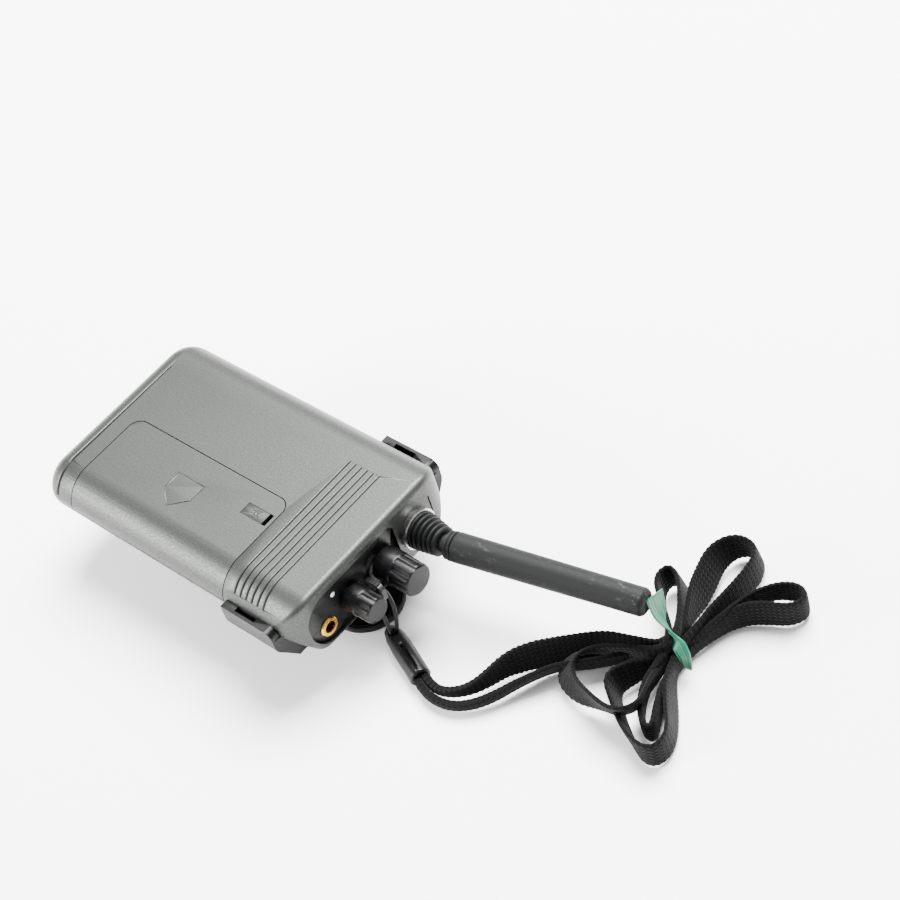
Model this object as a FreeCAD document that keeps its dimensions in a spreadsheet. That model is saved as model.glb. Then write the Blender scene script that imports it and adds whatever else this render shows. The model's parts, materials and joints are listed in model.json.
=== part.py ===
import FreeCAD, Part
import math
import os
import Sketcher

# Wireless bodypack transmitter, in millimetres.
# Frame: +X points out of the control end, +Y is away from the battery side, +Z out of the front face.
# The pack lies on its belt clip, so z = 0 is the underside of the clip lever.

V = FreeCAD.Vector
os.makedirs("parts", exist_ok=True)
doc = FreeCAD.newDocument("bodypack_transmitter")

# ---------------------------------------------------------------- driving dimensions

DIMENSIONS = {
    "case_length": 102.5, "case_width": 64.6, "case_height": 22.5, "clip_depth": 12.5,
    "parting_below_face": 14.5, "wall": 1.2, "side_round": 10.0, "back_round": 7.0,
    "nose_round": 9.0, "lip_round": 2.0, "keel_round": 5.0, "bilge_round": 6.0, "keel_half": 24.0,
    "cover_length": 63.0, "cover_front": 24.5, "cover_inner_edge": -1.0, "cover_skirt": 9.0,
    "cover_corner": 4.0, "seam": 0.3, "cell_radius": 7.1, "cell_length": 50.5, "cell_pitch": 14.5,
    "rib_count": 6.0, "rib_first": 28.6, "rib_pitch": 2.18, "rib_end": 18.3, "rib_radius": 0.45,
    "groove_place": -44.3, "groove_width": 0.7, "groove_depth": 0.45,
    "control_drop": 13.0, "volume_side": 3.2, "channel_side": -10.3,
    "volume_radius": 5.0, "volume_length": 12.4, "channel_radius": 4.2, "channel_length": 9.4,
    "shaft_radius": 1.5, "knob_gap": 1.0, "panel_face": 50.4,
    "jack_side": -20.0, "jack_drop": 15.8, "jack_bore": 1.8, "jack_ring": 3.0, "jack_depth": 14.5,
    "aerial_side": 16.4, "aerial_drop": 12.2, "aerial_yaw": 12.0, "collar_radius": 6.2,
    "boot_radius": 5.6, "boot_tip_radius": 4.3, "boot_start": 53.2, "boot_length": 8.7,
    "neck_gap": 1.0, "rod_radius": 4.3, "rod_tip_radius": 3.9, "rod_length": 57.5,
    "lug_side": -3.9, "lug_thick": 1.4, "lug_reach": 6.4, "lug_hole": 1.7,
    "bracket_start": 26.0, "bracket_end": 47.0, "bracket_wall": 2.3, "bracket_top": 7.0,
    "tongue_half": 13.0, "tongue_end": -24.0, "plate_thick": 2.2,
    "lever_thick": 2.4, "lever_half": 13.0, "lever_end": -22.0, "thumb_radius": 11.2, "thumb_place": 40.3,
    "hinge_place": 20.0, "hinge_height": 7.0, "pin_radius": 1.2,
    "board_thick": 1.6, "board_bottom": 21.6,
    "slider_radius": 3.1, "slider_length": 20.0, "cord_radius": 0.6, "strap_radius": 1.1,
    "hank_height": 10.0,
}

sheet = doc.addObject("Spreadsheet::Sheet", "dims")
for row, (alias, value) in enumerate(DIMENSIONS.items(), start=1):
    sheet.set("A%d" % row, alias)
    sheet.set("B%d" % row, str(value))
    sheet.setAlias("B%d" % row, alias)
doc.recompute()

SUBPARTS = []


def num(expression):
    """The present value of a sheet expression."""
    value = sheet.evalExpression(str(expression))
    return float(getattr(value, "Value", value))


def keep(obj, label):
    """Registers an object of the document as a sub-part."""
    obj.Label = label
    SUBPARTS.append(obj)
    return obj


TOP = num("dims.clip_depth + dims.case_height")
BOTTOM = num("dims.clip_depth")
PARTING = TOP - num("dims.parting_below_face")
HALF = num("dims.case_length / 2")
SIDE = num("dims.case_width / 2")
CONTROL_Z = TOP - num("dims.control_drop")
AERIAL_Z = TOP - num("dims.aerial_drop")
JACK_Z = TOP - num("dims.jack_drop")

# ---------------------------------------------------------------- helpers


def origin_plane(body, role):
    """The body's own origin plane with the given role."""
    return [f for f in body.Origin.OriginFeatures if f.Role == role][0]


def new_sketch(body, role, offset="0"):
    """A sketch on one of the body's origin planes, moved along the plane's normal."""
    sketch = body.newObject("Sketcher::SketchObject", "outline")
    sketch.AttachmentSupport = [(origin_plane(body, role), "")]
    sketch.MapMode = "FlatFace"
    sketch.AttachmentOffset = FreeCAD.Placement(V(0, 0, num(offset)), FreeCAD.Rotation())
    sketch.setExpression("AttachmentOffset.Base.z", str(offset))
    return sketch


def draw_polygon(sketch, corners):
    """A closed polygon whose corners are pairs of sheet expressions."""
    count = len(corners)
    places = [V(num(a), num(b), 0) for a, b in corners]
    first = sketch.GeometryCount
    for i in range(count):
        sketch.addGeometry(Part.LineSegment(places[i], places[(i + 1) % count]), False)
    for i in range(count):
        sketch.addConstraint(Sketcher.Constraint("Coincident", first + i, 2, first + (i + 1) % count, 1))
    for i, (across, up) in enumerate(corners):
        for kind, value, place in (("DistanceX", across, places[i].x), ("DistanceY", up, places[i].y)):
            index = sketch.addConstraint(Sketcher.Constraint(kind, first + i, 1, place))
            sketch.setExpression("Constraints[%d]" % index, str(value))


def draw_circle(sketch, across, up, radius):
    """A circle whose centre and radius are sheet expressions."""
    centre = V(num(across), num(up), 0)
    index = sketch.addGeometry(Part.Circle(centre, V(0, 0, 1), num(radius)), False)
    for kind, value, size in (("DistanceX", across, centre.x), ("DistanceY", up, centre.y)):
        constraint = sketch.addConstraint(Sketcher.Constraint(kind, index, 3, size))
        sketch.setExpression("Constraints[%d]" % constraint, str(value))
    constraint = sketch.addConstraint(Sketcher.Constraint("Radius", index, num(radius)))
    sketch.setExpression("Constraints[%d]" % constraint, str(radius))


def add_pad(body, role, low, high, draw, feature="PartDesign::Pad"):
    """Pads or pockets what draw puts on the plane, from low to high along the plane's normal."""
    sketch = new_sketch(body, role, low)
    draw(sketch)
    pad = body.newObject(feature, "extent")
    pad.Profile = sketch
    pad.Length = num("(%s) - (%s)" % (high, low))
    pad.setExpression("Length", "(%s) - (%s)" % (high, low))
    if feature == "PartDesign::Pocket":
        pad.Reversed = True
    if role == "XZ_Plane":
        pad.Reversed = not pad.Reversed
    doc.recompute()
    return pad


def add_turned(body, corners, feature="PartDesign::Revolution"):
    """Turns a polygon of (along X, radius) pairs about the X axis."""
    sketch = new_sketch(body, "XZ_Plane")
    draw_polygon(sketch, corners)
    turned = body.newObject(feature, "turned")
    turned.Profile = sketch
    turned.ReferenceAxis = (sketch, ["H_Axis"])
    turned.Angle = 360
    doc.recompute()
    return turned


def new_body(label, place=V(0, 0, 0), rotation=FreeCAD.Rotation()):
    body = doc.addObject("PartDesign::Body", label)
    body.Placement = FreeCAD.Placement(place, rotation)
    return keep(body, label)


def turned_part(label, place, corners, rotation=FreeCAD.Rotation()):
    body = new_body(label, place, rotation)
    add_turned(body, corners)
    return body


def block(low, high, name="block"):
    """A Part::Box between two corners given as sheet expressions."""
    box = doc.addObject("Part::Box", name)
    for size, start, end in (("Length", low[0], high[0]), ("Width", low[1], high[1]),
                             ("Height", low[2], high[2])):
        setattr(box, size, num("(%s) - (%s)" % (end, start)))
        box.setExpression(size, "(%s) - (%s)" % (end, start))
    box.Placement.Base = V(*[num(value) for value in low])
    for axis, value in zip("xyz", low):
        box.setExpression("Placement.Base.%s" % axis, str(value))
    return box


def rod(centre, direction, radius, length, name="rod"):
    """A Part::Cylinder from a centre point along a direction."""
    cylinder = doc.addObject("Part::Cylinder", name)
    cylinder.Radius = num(radius)
    cylinder.Height = num(length)
    cylinder.setExpression("Radius", str(radius))
    cylinder.setExpression("Height", str(length))
    turn = FreeCAD.Rotation(V(0, 0, 1), direction)
    cylinder.Placement = FreeCAD.Placement(V(*[num(value) for value in centre]), turn)
    for axis, value in zip("xyz", centre):
        cylinder.setExpression("Placement.Base.%s" % axis, str(value))
    return cylinder


def fused(pieces, name="fused"):
    fuse = doc.addObject("Part::MultiFuse", name)
    fuse.Shapes = pieces
    return fuse


def cut(base, tool, name="cut"):
    result = doc.addObject("Part::Cut", name)
    result.Base = base
    result.Tool = tool
    return result


def shaped(shape, label):
    """A sub-part whose shape is worked out with Part's own functions."""
    feature = doc.addObject("Part::Feature", label)
    place = shape.Placement
    feature.Shape = shape
    feature.Placement = place
    return keep(feature, label)


def box_shape(low, high):
    return Part.makeBox(high[0] - low[0], high[1] - low[1], high[2] - low[2], V(*low))


def prism(points, sweep):
    return Part.Face(Part.makePolygon(points + [points[0]])).extrude(sweep)

# ---------------------------------------------------------------- the outer form of the case


def section_wire(place, inset):
    """The case's cross-section at x = place: round upper sides, and sides that draw in below them."""
    side = SIDE - inset
    top = TOP - inset
    low = BOTTOM + inset
    bend = num("dims.side_round") - inset
    centre = TOP - num("dims.side_round")
    keel = num("dims.keel_half") - 0.6 * inset
    corner = bend * math.sqrt(0.5)
    right = Part.Arc(V(place, side - bend, top), V(place, side - bend + corner, centre + corner),
                     V(place, side, centre))
    left = Part.Arc(V(place, -side, centre), V(place, -side + bend - corner, centre + corner),
                    V(place, -side + bend, top))
    lines = [Part.LineSegment(V(place, -side + bend, top), V(place, side - bend, top)), right,
             Part.LineSegment(V(place, side, centre), V(place, keel, low)),
             Part.LineSegment(V(place, keel, low), V(place, -keel, low)),
             Part.LineSegment(V(place, -keel, low), V(place, -side, centre)), left]
    return Part.Wire([line.toShape() for line in lines])


def nose_plan(inset):
    """Plan of the case, rounded at its two front corners, as a tall prism."""
    half = HALF - inset
    side = SIDE - inset - 0.3
    bend = num("dims.nose_round") - inset
    drop = bend * (1 - math.sqrt(0.5))
    low = BOTTOM - 1
    lines = [Part.LineSegment(V(-half, -side, low), V(half - bend, -side, low)),
             Part.Arc(V(half - bend, -side, low), V(half - drop, -side + drop, low),
                      V(half, -side + bend, low)),
             Part.LineSegment(V(half, -side + bend, low), V(half, side - bend, low)),
             Part.Arc(V(half, side - bend, low), V(half - drop, side - drop, low),
                      V(half - bend, side, low)),
             Part.LineSegment(V(half - bend, side, low), V(-half, side, low)),
             Part.LineSegment(V(-half, side, low), V(-half, -side, low))]
    face = Part.Face(Part.Wire([line.toShape() for line in lines]))
    return face.extrude(V(0, 0, num("dims.case_height") + 2))


def runs_along(edge, side, height):
    """True for an edge along X at the given distance from the middle and height."""
    ends = edge.Vertexes
    if len(ends) != 2 or abs(ends[0].X - ends[1].X) < 50:
        return False
    return all(abs(abs(v.Y) - side) < 0.05 and abs(v.Z - height) < 0.05 for v in ends)


def long_form(inset, half):
    """The case's section drawn out along X, with its long edges rounded."""
    form = Part.Face(section_wire(-half, inset)).extrude(V(2 * half, 0, 0))
    keel = num("dims.keel_half") - 0.6 * inset
    for side, height, bend in ((keel, BOTTOM + inset, num("dims.keel_round")),
                               (SIDE - inset, TOP - num("dims.side_round"), num("dims.bilge_round"))):
        form = form.makeFillet(bend - inset, [e for e in form.Edges if runs_along(e, side, height)])
    return form


def case_form(inset):
    """The case as one solid, drawn in by inset all round."""
    half = HALF - inset
    form = long_form(inset, half)
    back = [e for e in form.Edges if all(abs(v.X + half) < 1e-4 for v in e.Vertexes)]
    form = form.makeFillet(num("dims.back_round") - inset, back)
    form = form.common(nose_plan(inset))
    reach = half - num("dims.nose_round") - 0.3
    nose = [e for e in form.Edges if all(v.X > reach for v in e.Vertexes)]
    return form.makeFillet(max(num("dims.lip_round") - inset, 0.5), nose)


OUTER = case_form(0.0)
INNER = case_form(num("dims.wall"))
SPAN = 2 * HALF


def above(height):
    return box_shape((-SPAN, -SPAN, height), (SPAN, SPAN, height + SPAN))


def below(height):
    return box_shape((-SPAN, -SPAN, height - SPAN), (SPAN, SPAN, height))


def cover_window(gap, low_edge):
    """The battery opening: rounded at its two inner corners, open on the -Y side."""
    front = num("dims.cover_front") - gap
    back = num("dims.cover_front - dims.cover_length") + gap
    inner = num("dims.cover_inner_edge") - gap
    box = box_shape((back, -SIDE - 2, low_edge + gap), (front, inner, TOP + 2))
    corners = [e for e in box.Edges if abs(e.Vertexes[0].Z - e.Vertexes[1].Z) > 5
               and abs(e.Vertexes[0].Y - inner) < 0.01]
    return box.makeFillet(num("dims.cover_corner") - gap, corners)


COVER_LOW = TOP - num("dims.cover_skirt")

# ---------------------------------------------------------------- panel outline at the control end


def panel_outline(place, grow, depth):
    """The dark end panel: round at the jack end, squarer beside the aerial."""
    left = -26.0 - grow
    right = 9.2 + grow
    low = BOTTOM + 1.6 - grow
    high = TOP - 3.4 + grow
    box = box_shape((place, left, low), (place + depth, right, high))
    ends = [e for e in box.Edges if abs(e.Vertexes[0].X - e.Vertexes[1].X) > depth / 2]
    round_end = [e for e in ends if abs(e.Vertexes[0].Y - left) < 0.01]
    box = box.makeFillet(7.4 + grow, round_end)
    ends = [e for e in box.Edges if abs(e.Vertexes[0].Y - right) < 0.01
            and abs(e.Vertexes[0].X - e.Vertexes[-1].X) > depth / 2]
    return box.makeFillet(2.5 + grow, ends)


def end_cylinder(side, height, radius, start, end):
    return Part.makeCylinder(radius, end - start, V(start, side, height), V(1, 0, 0))


SCREW_PLACES = [(-43.2, -19.5), (-43.2, 19.5), (28.6, -19.5), (28.6, 19.5)]
VOLUME_Y = num("dims.volume_side")
CHANNEL_Y = num("dims.channel_side")
JACK_Y = num("dims.jack_side")
AERIAL_Y = num("dims.aerial_side")

# ---------------------------------------------------------------- case halves


def rib_shapes():
    """Fine raised ribs over the front face, down the battery side to their rounded ends."""
    radius = num("dims.rib_radius")
    bend = num("dims.side_round")
    stop = math.radians(52)
    centre = V(0, -SIDE + bend, TOP - bend)
    ribs = []
    for i in range(int(num("dims.rib_count"))):
        place = num("dims.rib_first") + i * num("dims.rib_pitch")
        start = V(place, num("dims.rib_end"), TOP)
        turn = V(place, centre.y, TOP)
        middle = V(place, centre.y - bend * math.sin(stop / 2), centre.z + bend * math.cos(stop / 2))
        end = V(place, centre.y - bend * math.sin(stop), centre.z + bend * math.cos(stop))
        path = Part.Wire([Part.LineSegment(start, turn).toShape(), Part.Arc(turn, middle, end).toShape()])
        circle = Part.Wire([Part.makeCircle(radius, start, V(0, -1, 0))])
        rib = path.makePipeShell([circle], True, False)
        ribs.append(rib.fuse([Part.makeSphere(radius, start), Part.makeSphere(radius, end)]))
    return ribs


def face_groove():
    """The narrow groove across the back of the front face."""
    width = num("dims.groove_width")
    depth = num("dims.groove_depth")
    place = num("dims.groove_place")
    shallow = OUTER.cut(case_form(depth))
    return shallow.common(box_shape((place, -SIDE - 1, TOP - 6.5), (place + width, 18.2, TOP + 1)))


def screw_bosses(radius, low, high):
    return [Part.makeCylinder(radius, high - low, V(x, y, low)) for x, y in SCREW_PLACES]


def corner_slot():
    """The narrow upright slot in the end face beside the aerial."""
    return box_shape((49.5, 23.4, TOP - 13.2), (52.5, 23.85, TOP - 6.6))


def hook_slots():
    """Slots in both sides of the case that the clip bracket's hooks snap into."""
    slots = []
    for sign in (-1, 1):
        low_y, high_y = sorted((sign * (SIDE - 2.4), sign * (SIDE + 2)))
        slots.append(box_shape((30.5, low_y, TOP - 11.0), (37.9, high_y, TOP - 9.2)))
    return slots


def end_openings(start, end):
    """What passes through the case's end wall."""
    aerial = end_cylinder(AERIAL_Y, AERIAL_Z, 4.2, start, end)
    return [panel_outline(start, 0.15, end - start), aerial]


def make_front_case():
    shell = OUTER.common(above(PARTING)).cut(INNER)
    shell = shell.fuse(rib_shapes())
    bosses = [b.common(INNER) for b in screw_bosses(2.5, PARTING, TOP - 0.5)]
    shell = shell.fuse(bosses)
    bores = [Part.makeCylinder(0.9, 9.0, V(x, y, PARTING)) for x, y in SCREW_PLACES]
    shell = shell.cut([cover_window(0, COVER_LOW), face_groove(), corner_slot()] + bores + end_openings(45, 55) + hook_slots())
    return shaped(shell.removeSplitter(), "front_case")


def make_rear_case():
    shell = OUTER.common(below(PARTING)).cut(INNER)
    bosses = [b.common(INNER) for b in screw_bosses(2.9, BOTTOM + 0.5, PARTING)]
    shell = shell.fuse(bosses)
    heads = [Part.makeCylinder(2.2, 3.0, V(x, y, BOTTOM)) for x, y in SCREW_PLACES]
    holes = [Part.makeCylinder(1.25, 12.0, V(x, y, BOTTOM)) for x, y in SCREW_PLACES]
    label_seat = box_shape((-40, -17, BOTTOM), (-26, 17, BOTTOM + 0.35))
    shell = shell.cut(heads + holes + end_openings(45, 55) + [label_seat])
    return shaped(shell.removeSplitter(), "rear_case")


def make_case_screws():
    """Four self-tapping screws, heads sunk in the rear case."""
    screws = []
    for x, y in SCREW_PLACES:
        head = Part.makeCylinder(2.0, 1.5, V(x, y, BOTTOM + 1.5))
        shank = Part.makeCylinder(0.9, 9.0, V(x, y, BOTTOM + 3.0))
        slot_a = box_shape((x - 1.3, y - 0.25, BOTTOM + 1.4), (x + 1.3, y + 0.25, BOTTOM + 2.1))
        slot_b = box_shape((x - 0.25, y - 1.3, BOTTOM + 1.4), (x + 0.25, y + 1.3, BOTTOM + 2.1))
        screws.append(head.fuse(shank).cut([slot_a, slot_b]))
    return shaped(Part.makeCompound(screws), "case_screws")


def make_rating_label():
    return shaped(box_shape((-39.8, -16.8, BOTTOM + 0.1), (-26.2, 16.8, BOTTOM + 0.35)), "rating_label")


# ---------------------------------------------------------------- battery cover and its latch

LATCH_LOW = (13.6, -11.0)
LATCH_HIGH = (22.3, -6.9)
COVER_SKIN = 1.6


def make_battery_cover():
    gap = num("dims.seam")
    skin = OUTER.cut(case_form(COVER_SKIN)).common(cover_window(gap, COVER_LOW))
    opening = box_shape((LATCH_LOW[0], LATCH_LOW[1], TOP - 3), (LATCH_HIGH[0] + 0.9, LATCH_HIGH[1], TOP + 1))
    pocket = box_shape((8.3, LATCH_LOW[1] - 1.2, TOP - COVER_SKIN - 0.1), (23.3, LATCH_HIGH[1] + 1.2, TOP - 0.9))
    return shaped(skin.cut([opening, pocket, cover_arrow()]).removeSplitter(), "battery_cover")


def cover_arrow():
    """The slide-this-way mark: a shallow outline like a home plate, pointing off the battery side."""
    middle = num("dims.cover_front - dims.cover_length / 2")
    tail, shoulder, tip, half = -9.5, -15.5, -20.5, 5.4

    def plate(inset):
        points = [V(middle - half + inset, tail - inset, TOP - 0.25),
                  V(middle + half - inset, tail - inset, TOP - 0.25),
                  V(middle + half - inset, shoulder + 0.4 * inset, TOP - 0.25),
                  V(middle, tip + 1.3 * inset, TOP - 0.25),
                  V(middle - half + inset, shoulder + 0.4 * inset, TOP - 0.25)]
        return prism(points, V(0, 0, 1))

    return plate(0).cut(plate(0.45))


def make_cover_latch():
    """The finger latch set into the cover: a dimpled pad on a flange that slides under the cover's skin."""
    slack = 0.12
    pad = box_shape((LATCH_LOW[0] + slack, LATCH_LOW[1] + slack, TOP - 1.0),
                    (LATCH_HIGH[0] - 0.55, LATCH_HIGH[1] - slack, TOP - 0.05))
    flange = box_shape((LATCH_LOW[0] - 0.9, LATCH_LOW[1] - 1.0, TOP - COVER_SKIN + 0.05),
                       (LATCH_HIGH[0] - 0.6, LATCH_HIGH[1] + 1.0, TOP - 0.97))
    dimples = []
    for i in range(3):
        for j in range(2):
            place = V(LATCH_LOW[0] + 3.0 + i * 1.1, LATCH_HIGH[1] - 1.3 - j * 1.1, TOP - 0.1)
            dimples.append(Part.makeSphere(0.26, place))
    return shaped(pad.fuse([flange] + dimples).removeSplitter(), "cover_latch")


def make_latch_spring():
    """A small leaf in the cover's pocket that pushes the latch back."""
    low = TOP - COVER_SKIN + 0.1
    corners = [(8.3, -11.8), (9.0, -11.8), (9.0, -9.3), (12.6, -9.0), (12.6, -8.5), (8.3, -8.9)]
    leaf = prism([V(x, y, low) for x, y in corners], V(0, 0, 0.4))
    return shaped(leaf, "latch_leaf_spring")


# ---------------------------------------------------------------- batteries, tray and contacts

TRAY_LOW = (-38.6, -30.4, BOTTOM + 5.3)
TRAY_HIGH = (19.9, -0.2, TOP - 2.2)
CELL_Z = TRAY_LOW[2] + 1.1 + num("dims.cell_radius")
CELL_START = -33.6
CELL_Y = [-1.05 - num("dims.cell_radius"), -1.05 - num("dims.cell_radius") - num("dims.cell_pitch")]


def make_battery_tray():
    outer = box_shape(TRAY_LOW, TRAY_HIGH).common(case_form(COVER_SKIN + 0.2))
    low = (TRAY_LOW[0] + 1.0, -SIDE, TRAY_LOW[2] + 1.0)
    high = (TRAY_HIGH[0] - 1.0, TRAY_HIGH[1] - 0.7, TRAY_HIGH[2] + 1)
    return shaped(outer.cut(box_shape(low, high)).removeSplitter(), "battery_tray")


def make_cells():
    """Two AA cells side by side, turned end for end."""
    for index, side in enumerate(CELL_Y, start=1):
        tip = "dims.cell_length"
        corners = [("0", "0"), ("%s" % tip, "0"), ("%s" % tip, "2.6"), ("%s - 1.2" % tip, "2.6"),
                   ("%s - 1.2" % tip, "dims.cell_radius - 0.7"), ("%s - 1.9" % tip, "dims.cell_radius"),
                   ("0.5", "dims.cell_radius"), ("0", "dims.cell_radius - 0.5")]
        if index == 1:
            turned_part("battery_cell_1", V(CELL_START, side, CELL_Z), corners)
        else:
            turn = FreeCAD.Rotation(V(0, 0, 1), 180)
            turned_part("battery_cell_2", V(CELL_START + num(tip), side, CELL_Z), corners, turn)


def coil(radius, wire, pitch, turns, start, direction):
    """A closed wire coil."""
    helix = Part.makeHelix(pitch, pitch * turns, radius)
    profile = Part.Wire([Part.makeCircle(wire, V(radius, 0, 0), V(0, 1, 0))])
    shape = Part.Wire(helix).makePipeShell([profile], True, True)
    shape.Placement = FreeCAD.Placement(start, FreeCAD.Rotation(V(0, 0, 1), direction))
    return shape


def make_contacts():
    """Coil contacts for the cells' flat ends, and plates for their buttons."""
    back_wall = TRAY_LOW[0] + 1.0
    front_wall = TRAY_HIGH[0] - 1.0
    cell_end = CELL_START + num("dims.cell_length")
    spring = coil(3.4, 0.35, 0.85, 3.2, V(back_wall + 0.85, CELL_Y[0], CELL_Z), V(1, 0, 0))
    base = box_shape((back_wall, CELL_Y[0] - 4.5, CELL_Z - 4.5), (back_wall + 0.4, CELL_Y[0] + 4.5, CELL_Z + 4.5))
    stem = box_shape((back_wall + 0.4, CELL_Y[0] + 2.9, CELL_Z - 0.6),
                     (back_wall + 1.2, CELL_Y[0] + 3.7, CELL_Z + 0.6))
    shaped(base.fuse([stem, spring]), "cell_spring_contact")
    link = box_shape((back_wall, CELL_Y[1] - 4.5, CELL_Z - 4.5), (back_wall + 0.4, CELL_Y[1] + 4.5, CELL_Z + 4.5))
    bump = end_cylinder(CELL_Y[1], CELL_Z, 2.2, back_wall + 0.4, CELL_START)
    shaped(link.fuse(bump), "button_contact")
    bridge = box_shape((front_wall - 0.4, CELL_Y[1] - 4.5, CELL_Z - 4.0),
                       (front_wall, CELL_Y[0] + 4.5, CELL_Z + 4.0))
    pads = [end_cylinder(side, CELL_Z, 2.2, cell_end, front_wall - 0.4) for side in CELL_Y]
    shaped(bridge.fuse(pads), "bridge_contact")


# ---------------------------------------------------------------- electronics

BOARD_LOW = num("dims.board_bottom")
BOARD_HIGH = BOARD_LOW + num("dims.board_thick")


def make_main_board():
    board = block(("-46.0", "1.0", "dims.board_bottom"), ("37.0", "27.5", "dims.board_bottom + dims.board_thick"))
    notches = [rod((x, 19.5, "dims.board_bottom - 1"), V(0, 0, 1), "3.4", "5") for x in (-43.2, 28.6)]
    holes = [rod((x, y, "dims.board_bottom - 1"), V(0, 0, 1), "1.1", "5") for x, y in BOARD_SCREWS]
    keep(cut(board, fused(notches + holes)), "main_board")


BOARD_SCREWS = [(-20.0, 17.0), (8.0, 4.2)]


def make_board_parts():
    """The screening can over the radio stage, the audio chips, and the board's own screws."""
    can = box_shape((2.0, 8.0, BOARD_HIGH), (20.0, 25.0, BOARD_HIGH + 4.0))
    upright = [e for e in can.Edges if abs(e.Vertexes[0].Z - e.Vertexes[1].Z) > 3]
    can = can.makeFillet(1.0, upright)
    shaped(can.cut(box_shape((2.4, 8.4, BOARD_HIGH), (19.6, 24.6, BOARD_HIGH + 3.6))), "screening_can")
    chips = []
    for x, y, size in ((-38.0, 5.0, 6.0), (-31.0, 8.0, 8.0), (-14.0, 12.0, 5.0), (26.5, 5.0, 4.0)):
        chips.append(box_shape((x, y, BOARD_HIGH), (x + size, y + size, BOARD_HIGH + 1.4)))
    for i in range(5):
        chips.append(Part.makeCylinder(1.6, 4.5, V(-38.0 + i * 4.6, 19.5 - (i % 2) * 1.0, BOARD_HIGH)))
    shaped(Part.makeCompound(chips[:-1]), "board_components")
    screws = [Part.makeCylinder(2.0, 1.2, V(x, y, BOARD_HIGH)).fuse(
        Part.makeCylinder(1.1, 5.5, V(x, y, BOARD_HIGH - 5.5))) for x, y in BOARD_SCREWS]
    shaped(Part.makeCompound(screws), "board_screws")
    posts = [Part.makeCylinder(2.2, BOARD_LOW - BOTTOM, V(x, y, BOTTOM)).common(INNER).cut(
        Part.makeCylinder(1.1, 7.0, V(x, y, BOARD_LOW - 5.9))) for x, y in BOARD_SCREWS]
    shaped(Part.makeCompound(posts), "board_posts")


# ---------------------------------------------------------------- control end

FACE = num("dims.panel_face")


def make_control_panel():
    plate = panel_outline(FACE - 1.6, 0.0, 1.6)
    flange = panel_outline(FACE - 2.6, 0.9, 1.0).common(case_form(num("dims.wall") + 0.1))
    plate = plate.fuse(flange)
    guard = end_cylinder(VOLUME_Y, CONTROL_Z, 6.3, FACE, FACE + 0.8)
    guard = guard.cut(end_cylinder(VOLUME_Y, CONTROL_Z, 5.6, FACE - 1, FACE + 2))
    guard = guard.common(box_shape((FACE, VOLUME_Y - 7, CONTROL_Z - 1), (FACE + 1, VOLUME_Y - 2.4, CONTROL_Z + 7)))
    holes = [end_cylinder(VOLUME_Y, CONTROL_Z, 3.1, FACE - 5, FACE + 3),
             end_cylinder(CHANNEL_Y, CONTROL_Z, 3.1, FACE - 5, FACE + 3),
             end_cylinder(JACK_Y, JACK_Z, 2.55, FACE - 5, FACE + 3),
             end_cylinder(-15.2, TOP - 7.2, 0.8, FACE - 5, FACE + 3)]
    shaped(plate.fuse(guard).cut(holes).removeSplitter(), "control_panel")


def make_power_light():
    turned_part("power_light", V(FACE, -15.2, TOP - 7.2),
                [("-4", "0"), ("0.3", "0"), ("0.15", "0.5"), ("0", "0.75"), ("-2.6", "0.75"), ("-2.6", "1.3"),
                 ("-4", "1.3")])


def make_jack():
    """The 3.5 mm microphone jack: a gold collar in the panel, and its socket behind."""
    collar = [("-4.4", "dims.jack_bore"), ("0.6", "dims.jack_bore"), ("0.6", "dims.jack_ring - 0.3"),
              ("0.3", "dims.jack_ring"), ("0", "dims.jack_ring"), ("0", "2.5"), ("-4.4", "2.5")]
    turned_part("jack_collar", V(FACE, JACK_Y, JACK_Z), collar)
    depth = num("dims.jack_depth") - 5.0
    start = FACE - 4.4 - depth
    housing = block((start - 1.0, JACK_Y - 3.6, JACK_Z - 3.4), (start + depth, JACK_Y + 3.6, JACK_Z + 3.4))
    bore = rod((start, JACK_Y, JACK_Z), V(1, 0, 0), "dims.jack_bore", depth + 1)
    keep(cut(housing, bore), "jack_socket")


def make_control(label, side, body_radius):
    """A rotary control: its housing behind the panel, with a threaded bush for the shaft."""
    body = turned_part(label, V(FACE, side, CONTROL_Z),
                       [("-13", "0"), ("-6", "0"), ("-6", "dims.shaft_radius + 0.05"),
                        ("-0.4", "dims.shaft_radius + 0.05"), ("-0.4", "3.0"), ("-3.4", "3.0"),
                        ("-3.4", "%s" % body_radius), ("-13", "%s" % body_radius)])
    return body


def make_shaft(label, side, length):
    turned_part(label, V(FACE, side, CONTROL_Z),
                [("-5.8", "0"), ("%s - 1.2" % length, "0"), ("%s - 1.2" % length, "dims.shaft_radius"),
                 ("-5.8", "dims.shaft_radius")])


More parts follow.
